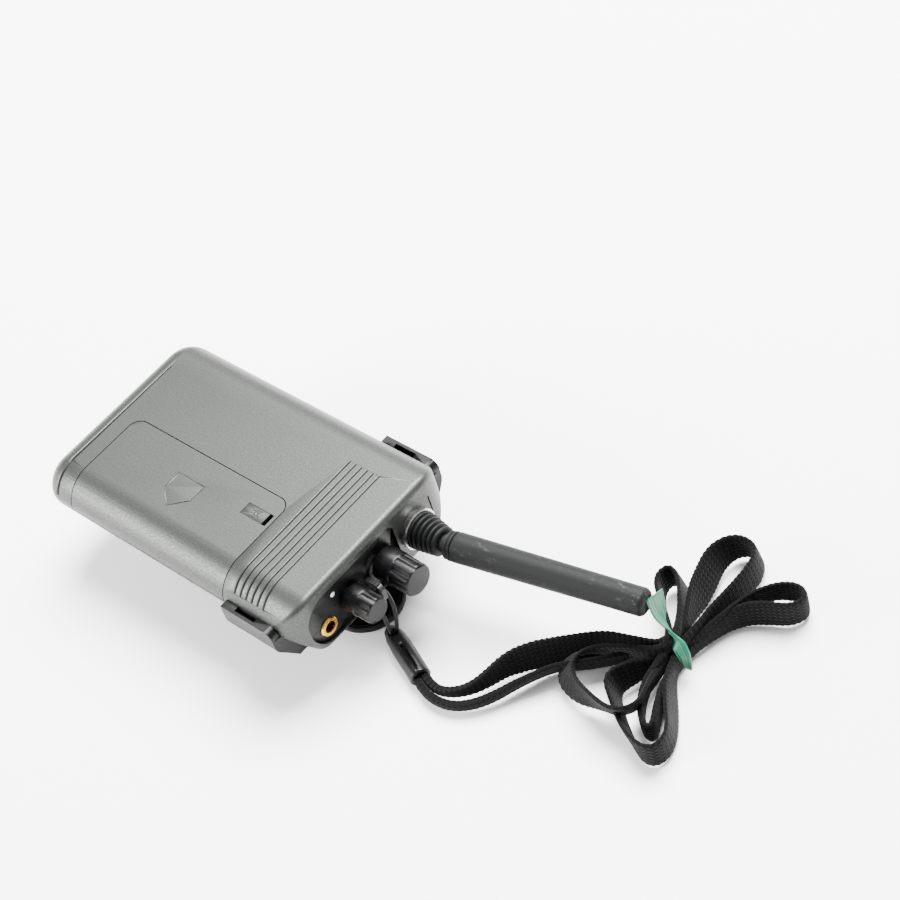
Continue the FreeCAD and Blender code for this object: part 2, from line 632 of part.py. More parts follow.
def make_knob(label, side, radius, length, flutes):
    """A knob with a plain skirt: turned form, shaft bore, and wide flutes patterned round its outer half."""
    body = new_body(label, V(FACE, side, CONTROL_Z))
    gap = "dims.knob_gap"
    skirt = "%s + 0.4 * %s" % (gap, length)
    add_turned(body, [(gap, "dims.shaft_radius"), (gap, radius), (skirt, radius),
                      ("%s + 0.25" % skirt, "%s - 0.15" % radius),
                      ("%s + %s - 0.4" % (gap, length), "%s - 0.25" % radius),
                      ("%s + %s" % (gap, length), "%s - 0.6" % radius),
                      ("%s + %s" % (gap, length), "0"),
                      ("%s - 1.2" % length, "0"),
                      ("%s - 1.2" % length, "dims.shaft_radius")])

    def draw_flute(sketch):
        draw_circle(sketch, "0", "%s + 0.95" % radius, "1.5")

    before = body.Shape.Volume
    flute = add_pad(body, "YZ_Plane", "%s + 0.6" % skirt, "%s + %s + 1" % (gap, length), draw_flute,
                    "PartDesign::Pocket")
    if body.Shape.Volume >= before:
        flute.Reversed = not flute.Reversed
        doc.recompute()
    pattern = body.newObject("PartDesign::PolarPattern", "flutes")
    pattern.Originals = [flute]
    pattern.Axis = ([f for f in body.Origin.OriginFeatures if f.Role == "X_Axis"][0], [""])
    pattern.Angle = 360
    pattern.Occurrences = flutes
    body.Tip = pattern
    doc.recompute()


LUG_EYE = V(FACE + num("dims.lug_reach") - 2.6, num("dims.lug_side"), TOP - 16.2)


def make_strap_lug():
    """The eyelet between the knobs that the lanyard's cord is looped through."""
    thick = num("dims.lug_thick")
    side = num("dims.lug_side")
    reach = FACE + num("dims.lug_reach")
    low, high = LUG_EYE.z - 2.9, TOP - 12.6
    points = [V(FACE, side - thick / 2, low + 1.0), V(reach, side - thick / 2, low),
              V(reach, side - thick / 2, high), V(FACE, side - thick / 2, high)]
    plate = prism(points, V(0, thick, 0))
    outer = [e for e in plate.Edges if abs(e.Vertexes[0].Y - e.Vertexes[-1].Y) > thick / 2
             and e.Vertexes[0].X > FACE + 1]
    plate = plate.makeFillet(1.6, outer)
    hole = Part.makeCylinder(num("dims.lug_hole"), 6, LUG_EYE - V(0, 3, 0), V(0, 1, 0))
    grips = [Part.makeCylinder(0.4, thick + 0.3, V(reach - 1.9 - i * 1.1, side - thick / 2 - 0.15, high - 0.1),
                               V(0, 1, 0)) for i in range(3)]
    shaped(plate.fuse(grips).cut(hole), "strap_lug")


# ---------------------------------------------------------------- aerial

AERIAL_START = num("dims.boot_start")
PIVOT = V(AERIAL_START + num("dims.boot_length + dims.neck_gap"), AERIAL_Y, AERIAL_Z)
AERIAL_TURN = FreeCAD.Rotation(V(0, 0, 1), num("dims.aerial_yaw"))


def make_aerial_root():
    """The grey collar on the case, the connector under it, and the ribbed rubber boot."""
    body = turned_part("aerial_collar", V(HALF, AERIAL_Y, AERIAL_Z),
                       [("0", "2.6"), ("1.95", "2.6"), ("1.95", "dims.collar_radius - 0.2"),
                        ("1.75", "dims.collar_radius"), ("1.45", "dims.collar_radius"),
                        ("1.3", "dims.collar_radius - 0.3"), ("0", "dims.collar_radius - 0.3")])
    turned_part("aerial_connector", V(AERIAL_START, AERIAL_Y, AERIAL_Z),
                [("-9", "0"), ("3", "0"), ("3", "2.5"), ("-3.3", "2.5"), ("-3.3", "3.6"), ("-9", "3.6")])
    length = "dims.boot_length"
    tip = "dims.boot_tip_radius"
    corners = [("0", "2.5"), ("0", "dims.boot_radius"), ("0.8", "dims.boot_radius")]
    rings = 5
    for i in range(rings):
        share = (i + 0.5) / rings
        radius = "dims.boot_radius - (dims.boot_radius - %s) * %.3f" % (tip, share)
        start = "0.8 + (%s - 1.2) * %.3f" % (length, i / rings)
        step = "(%s - 1.2) * %.3f" % (length, 1.0 / rings)
        corners += [("%s + %s * 0.25" % (start, step), "%s - 0.7" % radius),
                    ("%s + %s * 0.5" % (start, step), radius), ("%s + %s * 0.9" % (start, step), radius)]
    corners += [(length, "%s - 0.6" % tip), (length, "1.7"), ("3", "1.7"), ("3", "2.5")]
    turned_part("aerial_boot", V(AERIAL_START, AERIAL_Y, AERIAL_Z), corners)
    spring_length = num("dims.boot_length") - 3.6
    core = coil(1.15, 0.3, 0.8, spring_length / 0.8, V(AERIAL_START + 3.4, AERIAL_Y, AERIAL_Z), V(1, 0, 0))
    shaped(core, "aerial_core_spring")
    return body


def make_aerial_whip():
    """The rings past the neck turn with the whip: rubber sleeve over a wound wire."""
    ball = Part.makeSphere(0.45, PIVOT)
    shaped(ball, "aerial_core_ball")
    turned_part("aerial_neck", PIVOT,
                [("0.5", "0"), ("3.9", "0"), ("3.9", "3.2"), ("2.85", "3.6"), ("2.65", "4.2"), ("2.0", "4.25"),
                 ("1.75", "3.6"), ("1.55", "3.6"), ("1.4", "4.05"), ("0.8", "4.05"), ("0.5", "3.2")], AERIAL_TURN)
    whip = AERIAL_TURN.multVec(V(2.8, 0, 0))
    end = "dims.rod_length"
    turned_part("aerial_rod", PIVOT + whip,
                [("1.2", "0"), ("2.6", "0"), ("2.6", "1.3"), ("%s - 3" % end, "1.3"), ("%s - 3" % end, "0"),
                 (end, "0"), (end, "dims.rod_tip_radius - 1.2"), ("%s - 0.5" % end, "dims.rod_tip_radius - 0.4"),
                 ("%s - 1.3" % end, "dims.rod_tip_radius"), ("0.6", "dims.rod_radius"), ("0.15", "4.0"),
                 ("0.15", "3.75"), ("1.2", "3.3")], AERIAL_TURN)
    start = PIVOT + AERIAL_TURN.multVec(V(5.5, 0, 0))
    turns = (num(end) - 3 - 3.2) / 1.6
    wire = coil(0.85, 0.28, 1.6, turns, start, AERIAL_TURN.multVec(V(1, 0, 0)))
    shaped(wire, "aerial_wire")


# ---------------------------------------------------------------- belt clip

HINGE = V(num("dims.hinge_place"), 0, num("dims.hinge_height"))


def arm_front(side, rim):
    """Outline of what is cut from an arm's front end: an S from the rim down to the plate."""
    shoulder = V(42.6, side, rim)
    waist = V(45.0, side, rim - 3.2)
    foot = V(45.9, side, BOTTOM + 1.2)
    far_low = V(60, side, BOTTOM + 1.2)
    far_high = V(60, side, rim + 1)
    top = V(42.6, side, rim + 1)
    edges = [Part.LineSegment(top, shoulder), Part.Arc(shoulder, V(44.4, side, rim - 0.9), waist),
             Part.Arc(waist, V(45.1, side, (rim + BOTTOM) / 2 - 1.5), foot), Part.LineSegment(foot, far_low),
             Part.LineSegment(far_low, far_high), Part.LineSegment(far_high, top)]
    return Part.Wire([edge.toShape() for edge in edges])


def bracket_form(grow, low):
    """The bracket's outer section drawn out along X: upright cheeks, then slopes in to a flat keel."""
    side = SIDE + grow
    keel = num("dims.keel_half") + 2.0
    cheek = TOP - 14.3
    outline = [(-side, TOP), (-side, cheek), (-keel, low), (keel, low), (side, cheek), (side, TOP)]
    form = prism([V(-HALF, y, z) for y, z in outline], V(2 * HALF, 0, 0))
    for across, height, bend in ((side, cheek, 4.5), (keel, low, 5.0)):
        form = form.makeFillet(bend, [e for e in form.Edges if runs_along(e, across, height)])
    return form


def make_clip_bracket():
    """A springy cradle that grips both sides of the case, with a tongue that carries the lever."""
    start, end = num("dims.bracket_start"), num("dims.bracket_end")
    grow = num("dims.bracket_wall")
    rim = TOP - num("dims.bracket_top")
    low = BOTTOM - grow
    cradle = bracket_form(grow, low).cut(long_form(-0.1, HALF))
    cradle = cradle.common(box_shape((start, -SPAN, low), (end, SPAN, rim)))
    half = num("dims.tongue_half")
    tongue = box_shape((num("dims.tongue_end"), -half, low), (start + 0.5, half, low + num("dims.plate_thick")))
    back = [e for e in tongue.Edges if abs(e.Vertexes[0].Z - e.Vertexes[1].Z) > 1
            and abs(e.Vertexes[0].X - num("dims.tongue_end")) < 0.01]
    cradle = cradle.fuse(tongue.makeFillet(4.0, back))
    sweeps = [box_shape((43.5, -SPAN, low - 1), (60, SPAN, BOTTOM + 1.2))]
    extras = []
    for sign in (-1, 1):
        inner, outer = sign * (SIDE - 12), sign * (SIDE + 6)
        low_y, high_y = min(inner, outer), max(inner, outer)
        sweeps.append(Part.Face(arm_front(low_y, rim)).extrude(V(0, high_y - low_y, 0)))
        inner, outer = sign * (SIDE - 2), sign * (SIDE + 1.3)
        low_y, high_y = min(inner, outer), max(inner, outer)
        sweeps.append(box_shape((30.5, low_y, rim - 2.2), (37.9, high_y, rim + 1)))
        inner, outer = sign * (SIDE - 1.6), sign * (SIDE + 1.6)
        low_y, high_y = min(inner, outer), max(inner, outer)
        extras.append(box_shape((31.0, low_y, TOP - 10.8), (37.4, high_y, TOP - 9.4)))
        inner, outer = sign * 10.6, sign * 12.6
        low_y, high_y = min(inner, outer), max(inner, outer)
        extras.append(box_shape((HINGE.x - 3.4, low_y, HINGE.z), (HINGE.x + 3.4, high_y, low + 0.5)))
        extras.append(Part.makeCylinder(3.4, 2.0, V(HINGE.x, low_y, HINGE.z), V(0, 1, 0)))
    cradle = cradle.cut(sweeps).fuse(extras)
    bore = Part.makeCylinder(num("dims.pin_radius"), 30, V(HINGE.x, -15, HINGE.z), V(0, 1, 0))
    shaped(cradle.cut(bore).removeSplitter(), "clip_bracket")


def make_clip_lever():
    """The lever under the tongue: a dished thumb disc at one end, a jaw at the other."""
    thick = num("dims.lever_thick")
    half = num("dims.lever_half")
    end = num("dims.lever_end")
    disc = V(num("dims.thumb_place"), 0, 0)
    radius = num("dims.thumb_radius")
    outline = [V(end, -half, 0), V(24, -half, 0), V(33, -8.0, 0), V(36, -8.0, 0),
               V(36, 8.0, 0), V(33, 8.0, 0), V(24, half, 0), V(end, half, 0)]
    plate = prism(outline, V(0, 0, thick))
    corners = [e for e in plate.Edges if abs(e.Vertexes[0].Z - e.Vertexes[1].Z) > 1
               and abs(e.Vertexes[0].X - end) < 0.01]
    plate = plate.makeFillet(5.0, corners)
    rim = Part.makeCylinder(radius, thick, disc)
    rim = rim.makeFillet(0.7, [e for e in rim.Edges if len(e.Vertexes) == 1])
    lever = plate.fuse(rim).cut(Part.makeCylinder(radius - 1.3, thick, disc + V(0, 0, thick - 0.9)))
    lip = box_shape((end, -half + 5, thick - 0.5), (end + 2.6, half - 5, BOTTOM - num("dims.bracket_wall") - 0.12))
    tooth = prism([V(end + 2.6, -half + 5, 7.0), V(end + 3.6, -half + 5, 8.2), V(end + 2.6, -half + 5, 9.4)],
                  V(0, 2 * half - 10, 0))
    pieces = [lip, tooth]
    for sign in (-1, 1):
        low_y = min(sign * 8.0, sign * 10.0)
        pieces.append(box_shape((HINGE.x - 3.0, low_y, thick - 0.5), (HINGE.x + 3.0, low_y + 2.0, HINGE.z)))
        pieces.append(Part.makeCylinder(3.0, 2.0, V(HINGE.x, low_y, HINGE.z), V(0, 1, 0)))
    bore = Part.makeCylinder(num("dims.pin_radius") + 0.05, 30, V(HINGE.x, -15, HINGE.z), V(0, 1, 0))
    shaped(lever.fuse(pieces).cut(bore).removeSplitter(), "clip_lever")


def make_clip_pin_and_spring():
    keep(rod((HINGE.x, -12.6, HINGE.z), V(0, 1, 0), "dims.pin_radius", "25.2"), "clip_pin")
    wire = 0.4
    turns, pitch, radius = 8.25, 0.95, 2.0
    start = -4.0
    spring = coil(radius, wire, pitch, turns, V(HINGE.x, start, HINGE.z), V(0, 1, 0))
    top_leg = Part.makeCylinder(wire, 2.7, V(HINGE.x + radius, start, HINGE.z), V(0, 0, 1))
    low = V(HINGE.x, start + pitch * turns, HINGE.z - radius)
    low_leg = Part.makeCylinder(wire, 8.4, low, V(-8.4, 0, -2.0))
    shaped(spring.fuse([top_leg, low_leg]), "clip_torsion_spring")


# ---------------------------------------------------------------- lanyard

SLIDER_TIP = V(54.4, -5.1, num("dims.slider_radius"))
SLIDER_WAY = V(0.922, -0.387, 0)
SLIDER_SIDE = V(0.387, 0.922, 0)


def make_slider():
    """The cord slider: a bullet with a seat for the thin cord and a slot for the strap."""
    turn = FreeCAD.Rotation(V(1, 0, 0), SLIDER_WAY)
    length = "dims.slider_length"
    body = new_body("cord_slider", SLIDER_TIP, turn)
    add_turned(body, [("0", "0"), ("0", "1.5"), ("0.7", "2.1"), ("3.5", "2.8"), ("8.0", "dims.slider_radius"),
                      ("%s - 0.5" % length, "dims.slider_radius"), (length, "dims.slider_radius - 0.5"),
                      (length, "0")])

    def draw_seat(sketch):
        draw_circle(sketch, "3.6", "0", "1.35")

    def draw_slot(sketch):
        draw_polygon(sketch, [("9", "-0.6"), ("18", "-0.6"), ("18", "0.6"), ("9", "0.6")])

    for draw, depth in ((draw_seat, 1.5), (draw_slot, 2.1)):
        before = body.Shape.Volume
        pocket = add_pad(body, "XY_Plane", str(depth), "8", draw, "PartDesign::Pocket")
        if body.Shape.Volume >= before - 0.01:
            pocket.Reversed = not pocket.Reversed
            doc.recompute()


def tube(route, radius, label):
    """A round cord: straight runs joined by tangent arcs, and the radii of those arcs."""
    points = [V(*place) for place in route]
    edges = []
    radii = []
    here = points[0]
    for i in range(1, len(points) - 1):
        back = points[i - 1] - points[i]
        onward = points[i + 1] - points[i]
        shorter = min(back.Length, onward.Length)
        back.normalize()
        onward.normalize()
        turn = math.pi - back.getAngle(onward)
        reach = 0.45 * shorter
        bend = reach / math.tan(turn / 2)
        start = points[i] + back * reach
        end = points[i] + onward * reach
        bisector = (back + onward).normalize()
        middle = points[i] + bisector * (math.hypot(bend, reach) - bend)
        edges.append(Part.LineSegment(here, start).toShape())
        edges.append(Part.Arc(start, middle, end).toShape())
        radii.append(round(bend, 2))
        here = end
    edges.append(Part.LineSegment(here, points[-1]).toShape())
    path = Part.Wire(edges)
    profile = Part.Wire([Part.makeCircle(radius, points[0], points[1] - points[0])])
    shape = path.makePipeShell([profile], True, True)
    expected = math.pi * radius ** 2 * path.Length
    print(label, "bend radii mm", radii, "length mm", round(path.Length, 1),
          "volume / section x length", round(shape.Volume / expected, 4))
    return shape


def make_thin_cord():
    """The thin cord from the slider's seat up through the lug's eyelet and back."""
    seat = SLIDER_TIP + SLIDER_WAY * 3.6 + V(0, 0, 1.5)
    first = seat - SLIDER_SIDE * 0.65
    last = seat + SLIDER_SIDE * 0.65
    route = [(first.x, first.y, first.z), (first.x, first.y + 0.1, 9.5), (LUG_EYE.x, LUG_EYE.y - 2.1, LUG_EYE.z),
             (LUG_EYE.x, LUG_EYE.y + 2.1, LUG_EYE.z), (last.x + 0.1, last.y + 2.7, 10.5),
             (last.x, last.y, last.z)]
    shaped(tube(route, num("dims.cord_radius"), "lanyard_cord"), "lanyard_cord")


def make_strap():
    """Two runs of strap from the slider, the tied bundle of loops they go into, and its tie."""
    radius = num("dims.strap_radius")
    high = num("dims.slider_radius")
    end = SLIDER_TIP + SLIDER_WAY * num("dims.slider_length")
    upper = end + SLIDER_SIDE * 1.25
    lower = end - SLIDER_SIDE * 1.25
    upper_route = [(upper.x, upper.y, high), (78.9, -14.5, high), (86.2, -10.6, 2.4), (89.6, -4.0, 2.4),
                   (92.6, 4.2, 2.4), (99.7, 11.9, 2.4), (107.0, 17.5, 2.4)]
    lower_route = [(lower.x, lower.y, high), (78.5, -17.0, high), (87.6, -14.4, 2.4), (93.0, -7.0, 2.4),
                   (96.2, 1.4, 2.4), (104.0, 8.8, 2.4)]
    tails = [tube(upper_route, radius, "strap_tail_upper"), tube(lower_route, radius, "strap_tail_lower")]
    height = num("dims.hank_height")
    hank = Part.makeCylinder(6.5, height, V(127.0, 31.0, 0))
    for outline, openness in HANK_LOOPS:
        hank = hank.fuse(loop_band(outline, openness, height))
    hank = hank.cut(tails).removeSplitter()
    shaped(tails[0], "strap_tail_upper")
    shaped(tails[1], "strap_tail_lower")
    shaped(hank, "strap_hank")
    corners = [(112.5, 36.5), (119.5, 31.5), (127.5, 26.0), (133.5, 24.5), (135.0, 29.0), (127.5, 33.0),
               (116.0, 42.5)]
    shaped(prism([V(x, y, height) for x, y in corners], V(0, 0, 0.7)), "strap_tie")


HANK_LOOPS = [
    ([(124.0, 38.0), (118.0, 52.0), (115.5, 61.5), (120.5, 69.5), (129.0, 70.0), (132.3, 63.0), (132.5, 54.0),
      (131.5, 45.0), (130.0, 34.0)], 0.45),
    ([(128.0, 34.0), (130.0, 45.0), (131.5, 53.0), (136.5, 61.5), (144.5, 65.0), (151.4, 60.2), (148.0, 52.7),
      (141.0, 49.6), (136.0, 45.6), (132.5, 36.0)], 0.45),
    ([(124.0, 31.0), (117.0, 35.5), (109.0, 43.0), (108.8, 50.4), (116.8, 49.2), (124.5, 38.5), (128.0, 31.5)], 0.3),
    ([(128.0, 32.5), (116.0, 27.5), (108.0, 22.5), (101.5, 15.5), (101.5, 9.0), (108.0, 4.8), (117.5, 4.8),
      (126.5, 8.3), (127.5, 15.0), (126.0, 22.0)], 0.4),
    ([(127.0, 30.5), (132.0, 25.5), (137.0, 18.8), (141.5, 12.5), (145.8, 7.0), (145.6, 0.0), (139.5, -4.0),
      (131.3, -0.8), (123.0, 5.3), (117.2, 12.0), (122.0, 18.5), (124.6, 24.5)], 0.35),
]


def closed_curve(points):
    curve = Part.BSplineCurve()
    curve.interpolate(Points=points, PeriodicFlag=True)
    return Part.Face(Part.Wire([curve.toShape()]))


def loop_band(outline, openness, height):
    """One loop of the bundle standing on the floor, with the space inside it left open."""
    outer = [V(x, y, 0) for x, y in outline]
    middle = V(0, 0, 0)
    for point in outer:
        middle = middle + point * (1.0 / len(outer))
    band = closed_curve(outer).extrude(V(0, 0, height))
    if openness > 0:
        inner = [middle + (point - middle) * openness for point in outer]
        band = band.cut(closed_curve(inner).extrude(V(0, 0, height)))
    return band


# ---------------------------------------------------------------- build, check and write

make_front_case()
make_rear_case()
make_case_screws()
make_rating_label()
make_battery_cover()
make_cover_latch()
make_latch_spring()
make_battery_tray()
make_cells()
make_contacts()
make_main_board()
make_board_parts()
make_control_panel()
make_power_light()
make_jack()
make_control("volume_pot", VOLUME_Y, 6.0)
make_shaft("volume_shaft", VOLUME_Y, "dims.volume_length")
make_knob("volume_knob", VOLUME_Y, "dims.volume_radius", "dims.volume_length", 10)
make_control("channel_switch", CHANNEL_Y, 6.0)
make_shaft("channel_shaft", CHANNEL_Y, "dims.channel_length")
make_knob("channel_knob", CHANNEL_Y, "dims.channel_radius", "dims.channel_length", 9)
make_strap_lug()
make_aerial_root()
make_aerial_whip()
make_clip_bracket()
make_clip_lever()
make_clip_pin_and_spring()
make_slider()
make_thin_cord()
make_strap()
doc.recompute()

faulty = [o.Name for o in doc.Objects if {"Invalid", "Error"} & set(o.State)]
if faulty:
    raise RuntimeError("objects in error: " + ", ".join(faulty))
for part in SUBPARTS:
    shape = part.Shape
    if shape.isNull() or not shape.isValid() or shape.Volume <= 0:
        raise RuntimeError("bad shape: " + part.Label)
    print(part.Label, "solids", len(shape.Solids), "volume", round(shape.Volume, 2))
for part in SUBPARTS:
    part.Shape.exportStep("parts/%s.step" % part.Label)
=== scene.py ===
import json
import math

import bmesh
import bpy
from mathutils import Matrix, Vector


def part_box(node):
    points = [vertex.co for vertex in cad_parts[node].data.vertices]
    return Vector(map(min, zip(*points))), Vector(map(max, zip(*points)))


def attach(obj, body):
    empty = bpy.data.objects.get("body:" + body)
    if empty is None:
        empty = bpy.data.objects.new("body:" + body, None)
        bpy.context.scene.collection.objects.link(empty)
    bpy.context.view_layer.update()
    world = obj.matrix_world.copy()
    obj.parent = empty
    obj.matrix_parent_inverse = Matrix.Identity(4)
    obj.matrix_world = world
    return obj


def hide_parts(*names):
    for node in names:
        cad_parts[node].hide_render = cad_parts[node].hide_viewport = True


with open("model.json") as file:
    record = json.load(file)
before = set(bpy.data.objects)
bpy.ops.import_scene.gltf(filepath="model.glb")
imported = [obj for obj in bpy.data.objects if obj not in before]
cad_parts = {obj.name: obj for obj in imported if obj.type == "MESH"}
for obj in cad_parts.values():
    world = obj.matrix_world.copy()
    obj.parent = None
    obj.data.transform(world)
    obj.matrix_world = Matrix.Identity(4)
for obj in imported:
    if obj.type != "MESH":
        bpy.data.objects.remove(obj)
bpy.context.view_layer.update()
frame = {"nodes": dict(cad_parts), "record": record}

bl_info = {
    "name": "Bodypack transmitter",
    "version": (1, 0, 0),
    "blender": (4, 5, 0),
    "location": "View3D > Sidebar > Bodypack",
    "description": "Finishes a wireless bodypack transmitter with its aerial, belt clip and tied lanyard",
    "category": "Object",
}

MM = 0.001
BODIES = frame["record"]["behaviour"]["bodies"]
BODY_OF = {node: body for body, nodes in BODIES.items() for node in nodes}

# ------------------------------------------------------------------ small tools


def linear(hex_colour):
    """A linear colour with alpha from an sRGB hex string."""
    channels = [int(hex_colour[i:i + 2], 16) / 255 for i in (1, 3, 5)]
    return tuple(c / 12.92 if c <= 0.04045 else ((c + 0.055) / 1.055) ** 2.4 for c in channels) + (1.0,)


def add(tree, kind, settings=None, links=None):
    """Adds a node, sets its properties and sockets, and links sockets from other nodes."""
    made = tree.nodes.new(kind)
    for name, value in (settings or {}).items():
        if isinstance(name, int) or name in made.inputs.keys():
            made.inputs[name].default_value = value
        else:
            setattr(made, name, value)
    for name, source in (links or {}).items():
        tree.links.new(source, made.inputs[name])
    return made


def new_material(name):
    """An empty material with one Principled shader wired to its output."""
    material = bpy.data.materials.new(name)
    material.use_nodes = True
    tree = material.node_tree
    tree.nodes.clear()
    shader = tree.nodes.new("ShaderNodeBsdfPrincipled")
    output = tree.nodes.new("ShaderNodeOutputMaterial")
    tree.links.new(shader.outputs["BSDF"], output.inputs["Surface"])
    return material, tree, shader


def ramp(tree, source, stops, interpolation="LINEAR"):
    """A colour ramp with (place, colour) stops."""
    made = tree.nodes.new("ShaderNodeValToRGB")
    made.color_ramp.interpolation = interpolation
    elements = made.color_ramp.elements
    while len(elements) < len(stops):
        elements.new(0.5)
    for element, (place, colour) in zip(elements, stops):
        element.position = place
        element.color = colour
    tree.links.new(source, made.inputs["Fac"])
    return made.outputs["Color"]


def grey(value):
    """A neutral linear colour with alpha."""
    return (value, value, value, 1.0)


def math_node(tree, operation, first, second=None):
    """A sum on two sockets or numbers, and its result."""
    made = tree.nodes.new("ShaderNodeMath")
    made.operation = operation
    for socket, value in zip(made.inputs, (first, second)):
        if value is None:
            continue
        if isinstance(value, (int, float)):
            socket.default_value = value
        else:
            tree.links.new(value, socket)
    return made.outputs[0]

# ------------------------------------------------------------------ materials


def painted_abs(name, hex_colour, fleck_mm):
    """Silver-grey lacquer sprayed on moulded ABS: fine aluminium flecks under a low sheen."""
    material, tree, shader = new_material(name)
    place = add(tree, "ShaderNodeTexCoord").outputs["Object"]
    base = linear(hex_colour)
    flecks = add(tree, "ShaderNodeTexNoise", {"Scale": 1 / (fleck_mm * MM), "Detail": 2.0, "Roughness": 0.7},
                 {"Vector": place})
    dark = tuple(c * 0.64 for c in base[:3]) + (1,)
    light = tuple(min(1, c * 1.7) for c in base[:3]) + (1,)
    tint = ramp(tree, flecks.outputs["Fac"], [(0.30, dark), (0.46, base), (0.56, base), (0.70, light)])
    cloud = add(tree, "ShaderNodeTexNoise", {"Scale": 60.0, "Detail": 3.0}, {"Vector": place})
    shade = ramp(tree, cloud.outputs["Fac"], [(0.3, grey(0.95)), (0.7, grey(1.0))])
    mixed = add(tree, "ShaderNodeMix", {"data_type": "RGBA", "blend_type": "MULTIPLY"})
    mixed.inputs[0].default_value = 1.0
    tree.links.new(tint, mixed.inputs[6])
    tree.links.new(shade, mixed.inputs[7])
    tree.links.new(mixed.outputs[2], shader.inputs["Base Color"])
    rough = ramp(tree, flecks.outputs["Fac"], [(0.3, grey(0.50)), (0.7, grey(0.38))])
    tree.links.new(rough, shader.inputs["Roughness"])
    shader.inputs["Metallic"].default_value = 0.7
    shader.inputs["IOR"].default_value = 1.5
    bump = add(tree, "ShaderNodeBump", {"Strength": 0.2, "Distance": 0.06 * MM},
               {"Height": flecks.outputs["Fac"]})
    tree.links.new(bump.outputs["Normal"], shader.inputs["Normal"])
    return material


def moulded_plastic(name, hex_colour, roughness, grain_mm=0.35, bump_strength=0.15, gloss=0.5):
    """Injection-moulded ABS: a satin spark-eroded texture with faint handling marks."""
    material, tree, shader = new_material(name)
    place = add(tree, "ShaderNodeTexCoord").outputs["Object"]
    base = linear(hex_colour)
    grain = add(tree, "ShaderNodeTexNoise", {"Scale": 1 / (grain_mm * MM), "Detail": 3.0},
                {"Vector": place})
    marks = add(tree, "ShaderNodeTexNoise", {"Scale": 220.0, "Detail": 6.0, "Roughness": 0.7},
                {"Vector": place})
    dusty = tuple(c * 1.2 + 0.003 for c in base[:3]) + (1,)
    tint = ramp(tree, marks.outputs["Fac"], [(0.45, base), (0.75, dusty)])
    tree.links.new(tint, shader.inputs["Base Color"])
    low, high = max(0.05, roughness - 0.07), min(1, roughness + 0.08)
    rough = ramp(tree, marks.outputs["Fac"], [(0.35, grey(low)), (0.7, grey(high))])
    tree.links.new(rough, shader.inputs["Roughness"])
    shader.inputs["IOR"].default_value = 1.5
    shader.inputs["Specular IOR Level"].default_value = gloss
    bump = add(tree, "ShaderNodeBump", {"Strength": bump_strength, "Distance": 0.04 * MM},
               {"Height": grain.outputs["Fac"]})
    tree.links.new(bump.outputs["Normal"], shader.inputs["Normal"])
    return material


def worn_rubber(name, hex_colour, scuff_hex, amount):
    """Moulded nitrile rubber: dull and dark, rubbed pale in streaks where it has been handled."""
    material, tree, shader = new_material(name)
    place = add(tree, "ShaderNodeTexCoord").outputs["Object"]
    base = linear(hex_colour)
    scuff = linear(scuff_hex)
    stretched = add(tree, "ShaderNodeMapping", {"Scale": (0.35, 1.0, 1.0), "Rotation": (0, 0, -0.2)},
                    {"Vector": place})
    streaks = add(tree, "ShaderNodeTexNoise", {"Scale": 900.0, "Detail": 5.0, "Roughness": 0.75},
                  {"Vector": stretched.outputs["Vector"]})
    patches = add(tree, "ShaderNodeTexNoise", {"Scale": 90.0, "Detail": 3.0}, {"Vector": place})
    streak_mask = ramp(tree, streaks.outputs["Fac"], [(0.56, grey(0)), (0.72, grey(1))])
    patch_mask = ramp(tree, patches.outputs["Fac"], [(0.48, grey(0)), (0.66, grey(1))])
    both = math_node(tree, "MULTIPLY", streak_mask, patch_mask)
    mask = math_node(tree, "MULTIPLY", both, amount)
    mixed = add(tree, "ShaderNodeMix", {"data_type": "RGBA"})
    tree.links.new(mask, mixed.inputs[0])
    mixed.inputs[6].default_value = base
    mixed.inputs[7].default_value = scuff
    tree.links.new(mixed.outputs[2], shader.inputs["Base Color"])
    shader.inputs["Roughness"].default_value = 0.62
    shader.inputs["IOR"].default_value = 1.5
    shader.inputs["Specular IOR Level"].default_value = 0.14  # its dull skin hardly mirrors
    skin = add(tree, "ShaderNodeTexNoise", {"Scale": 2600.0, "Detail": 2.0}, {"Vector": place})
    bump = add(tree, "ShaderNodeBump", {"Strength": 0.25, "Distance": 0.05 * MM},
               {"Height": skin.outputs["Fac"]})
    tree.links.new(bump.outputs["Normal"], shader.inputs["Normal"])
    return material


def plated_metal(name, hex_colour, roughness, brush_mm=0.2):
    """Plated or machined metal: a clean reflective skin with fine turning marks."""
    material, tree, shader = new_material(name)
    place = add(tree, "ShaderNodeTexCoord").outputs["Object"]
    marks = add(tree, "ShaderNodeTexNoise", {"Scale": 1 / (brush_mm * MM), "Detail": 2.0}, {"Vector": place})
    base = linear(hex_colour)
    dull = tuple(c * 0.85 for c in base[:3]) + (1,)
    tint = ramp(tree, marks.outputs["Fac"], [(0.35, dull), (0.65, base)])
    tree.links.new(tint, shader.inputs["Base Color"])
    shader.inputs["Metallic"].default_value = 1.0
    rough = ramp(tree, marks.outputs["Fac"], [(0.3, grey(roughness)), (0.7, grey(roughness + 0.12))])
    tree.links.new(rough, shader.inputs["Roughness"])
    return material


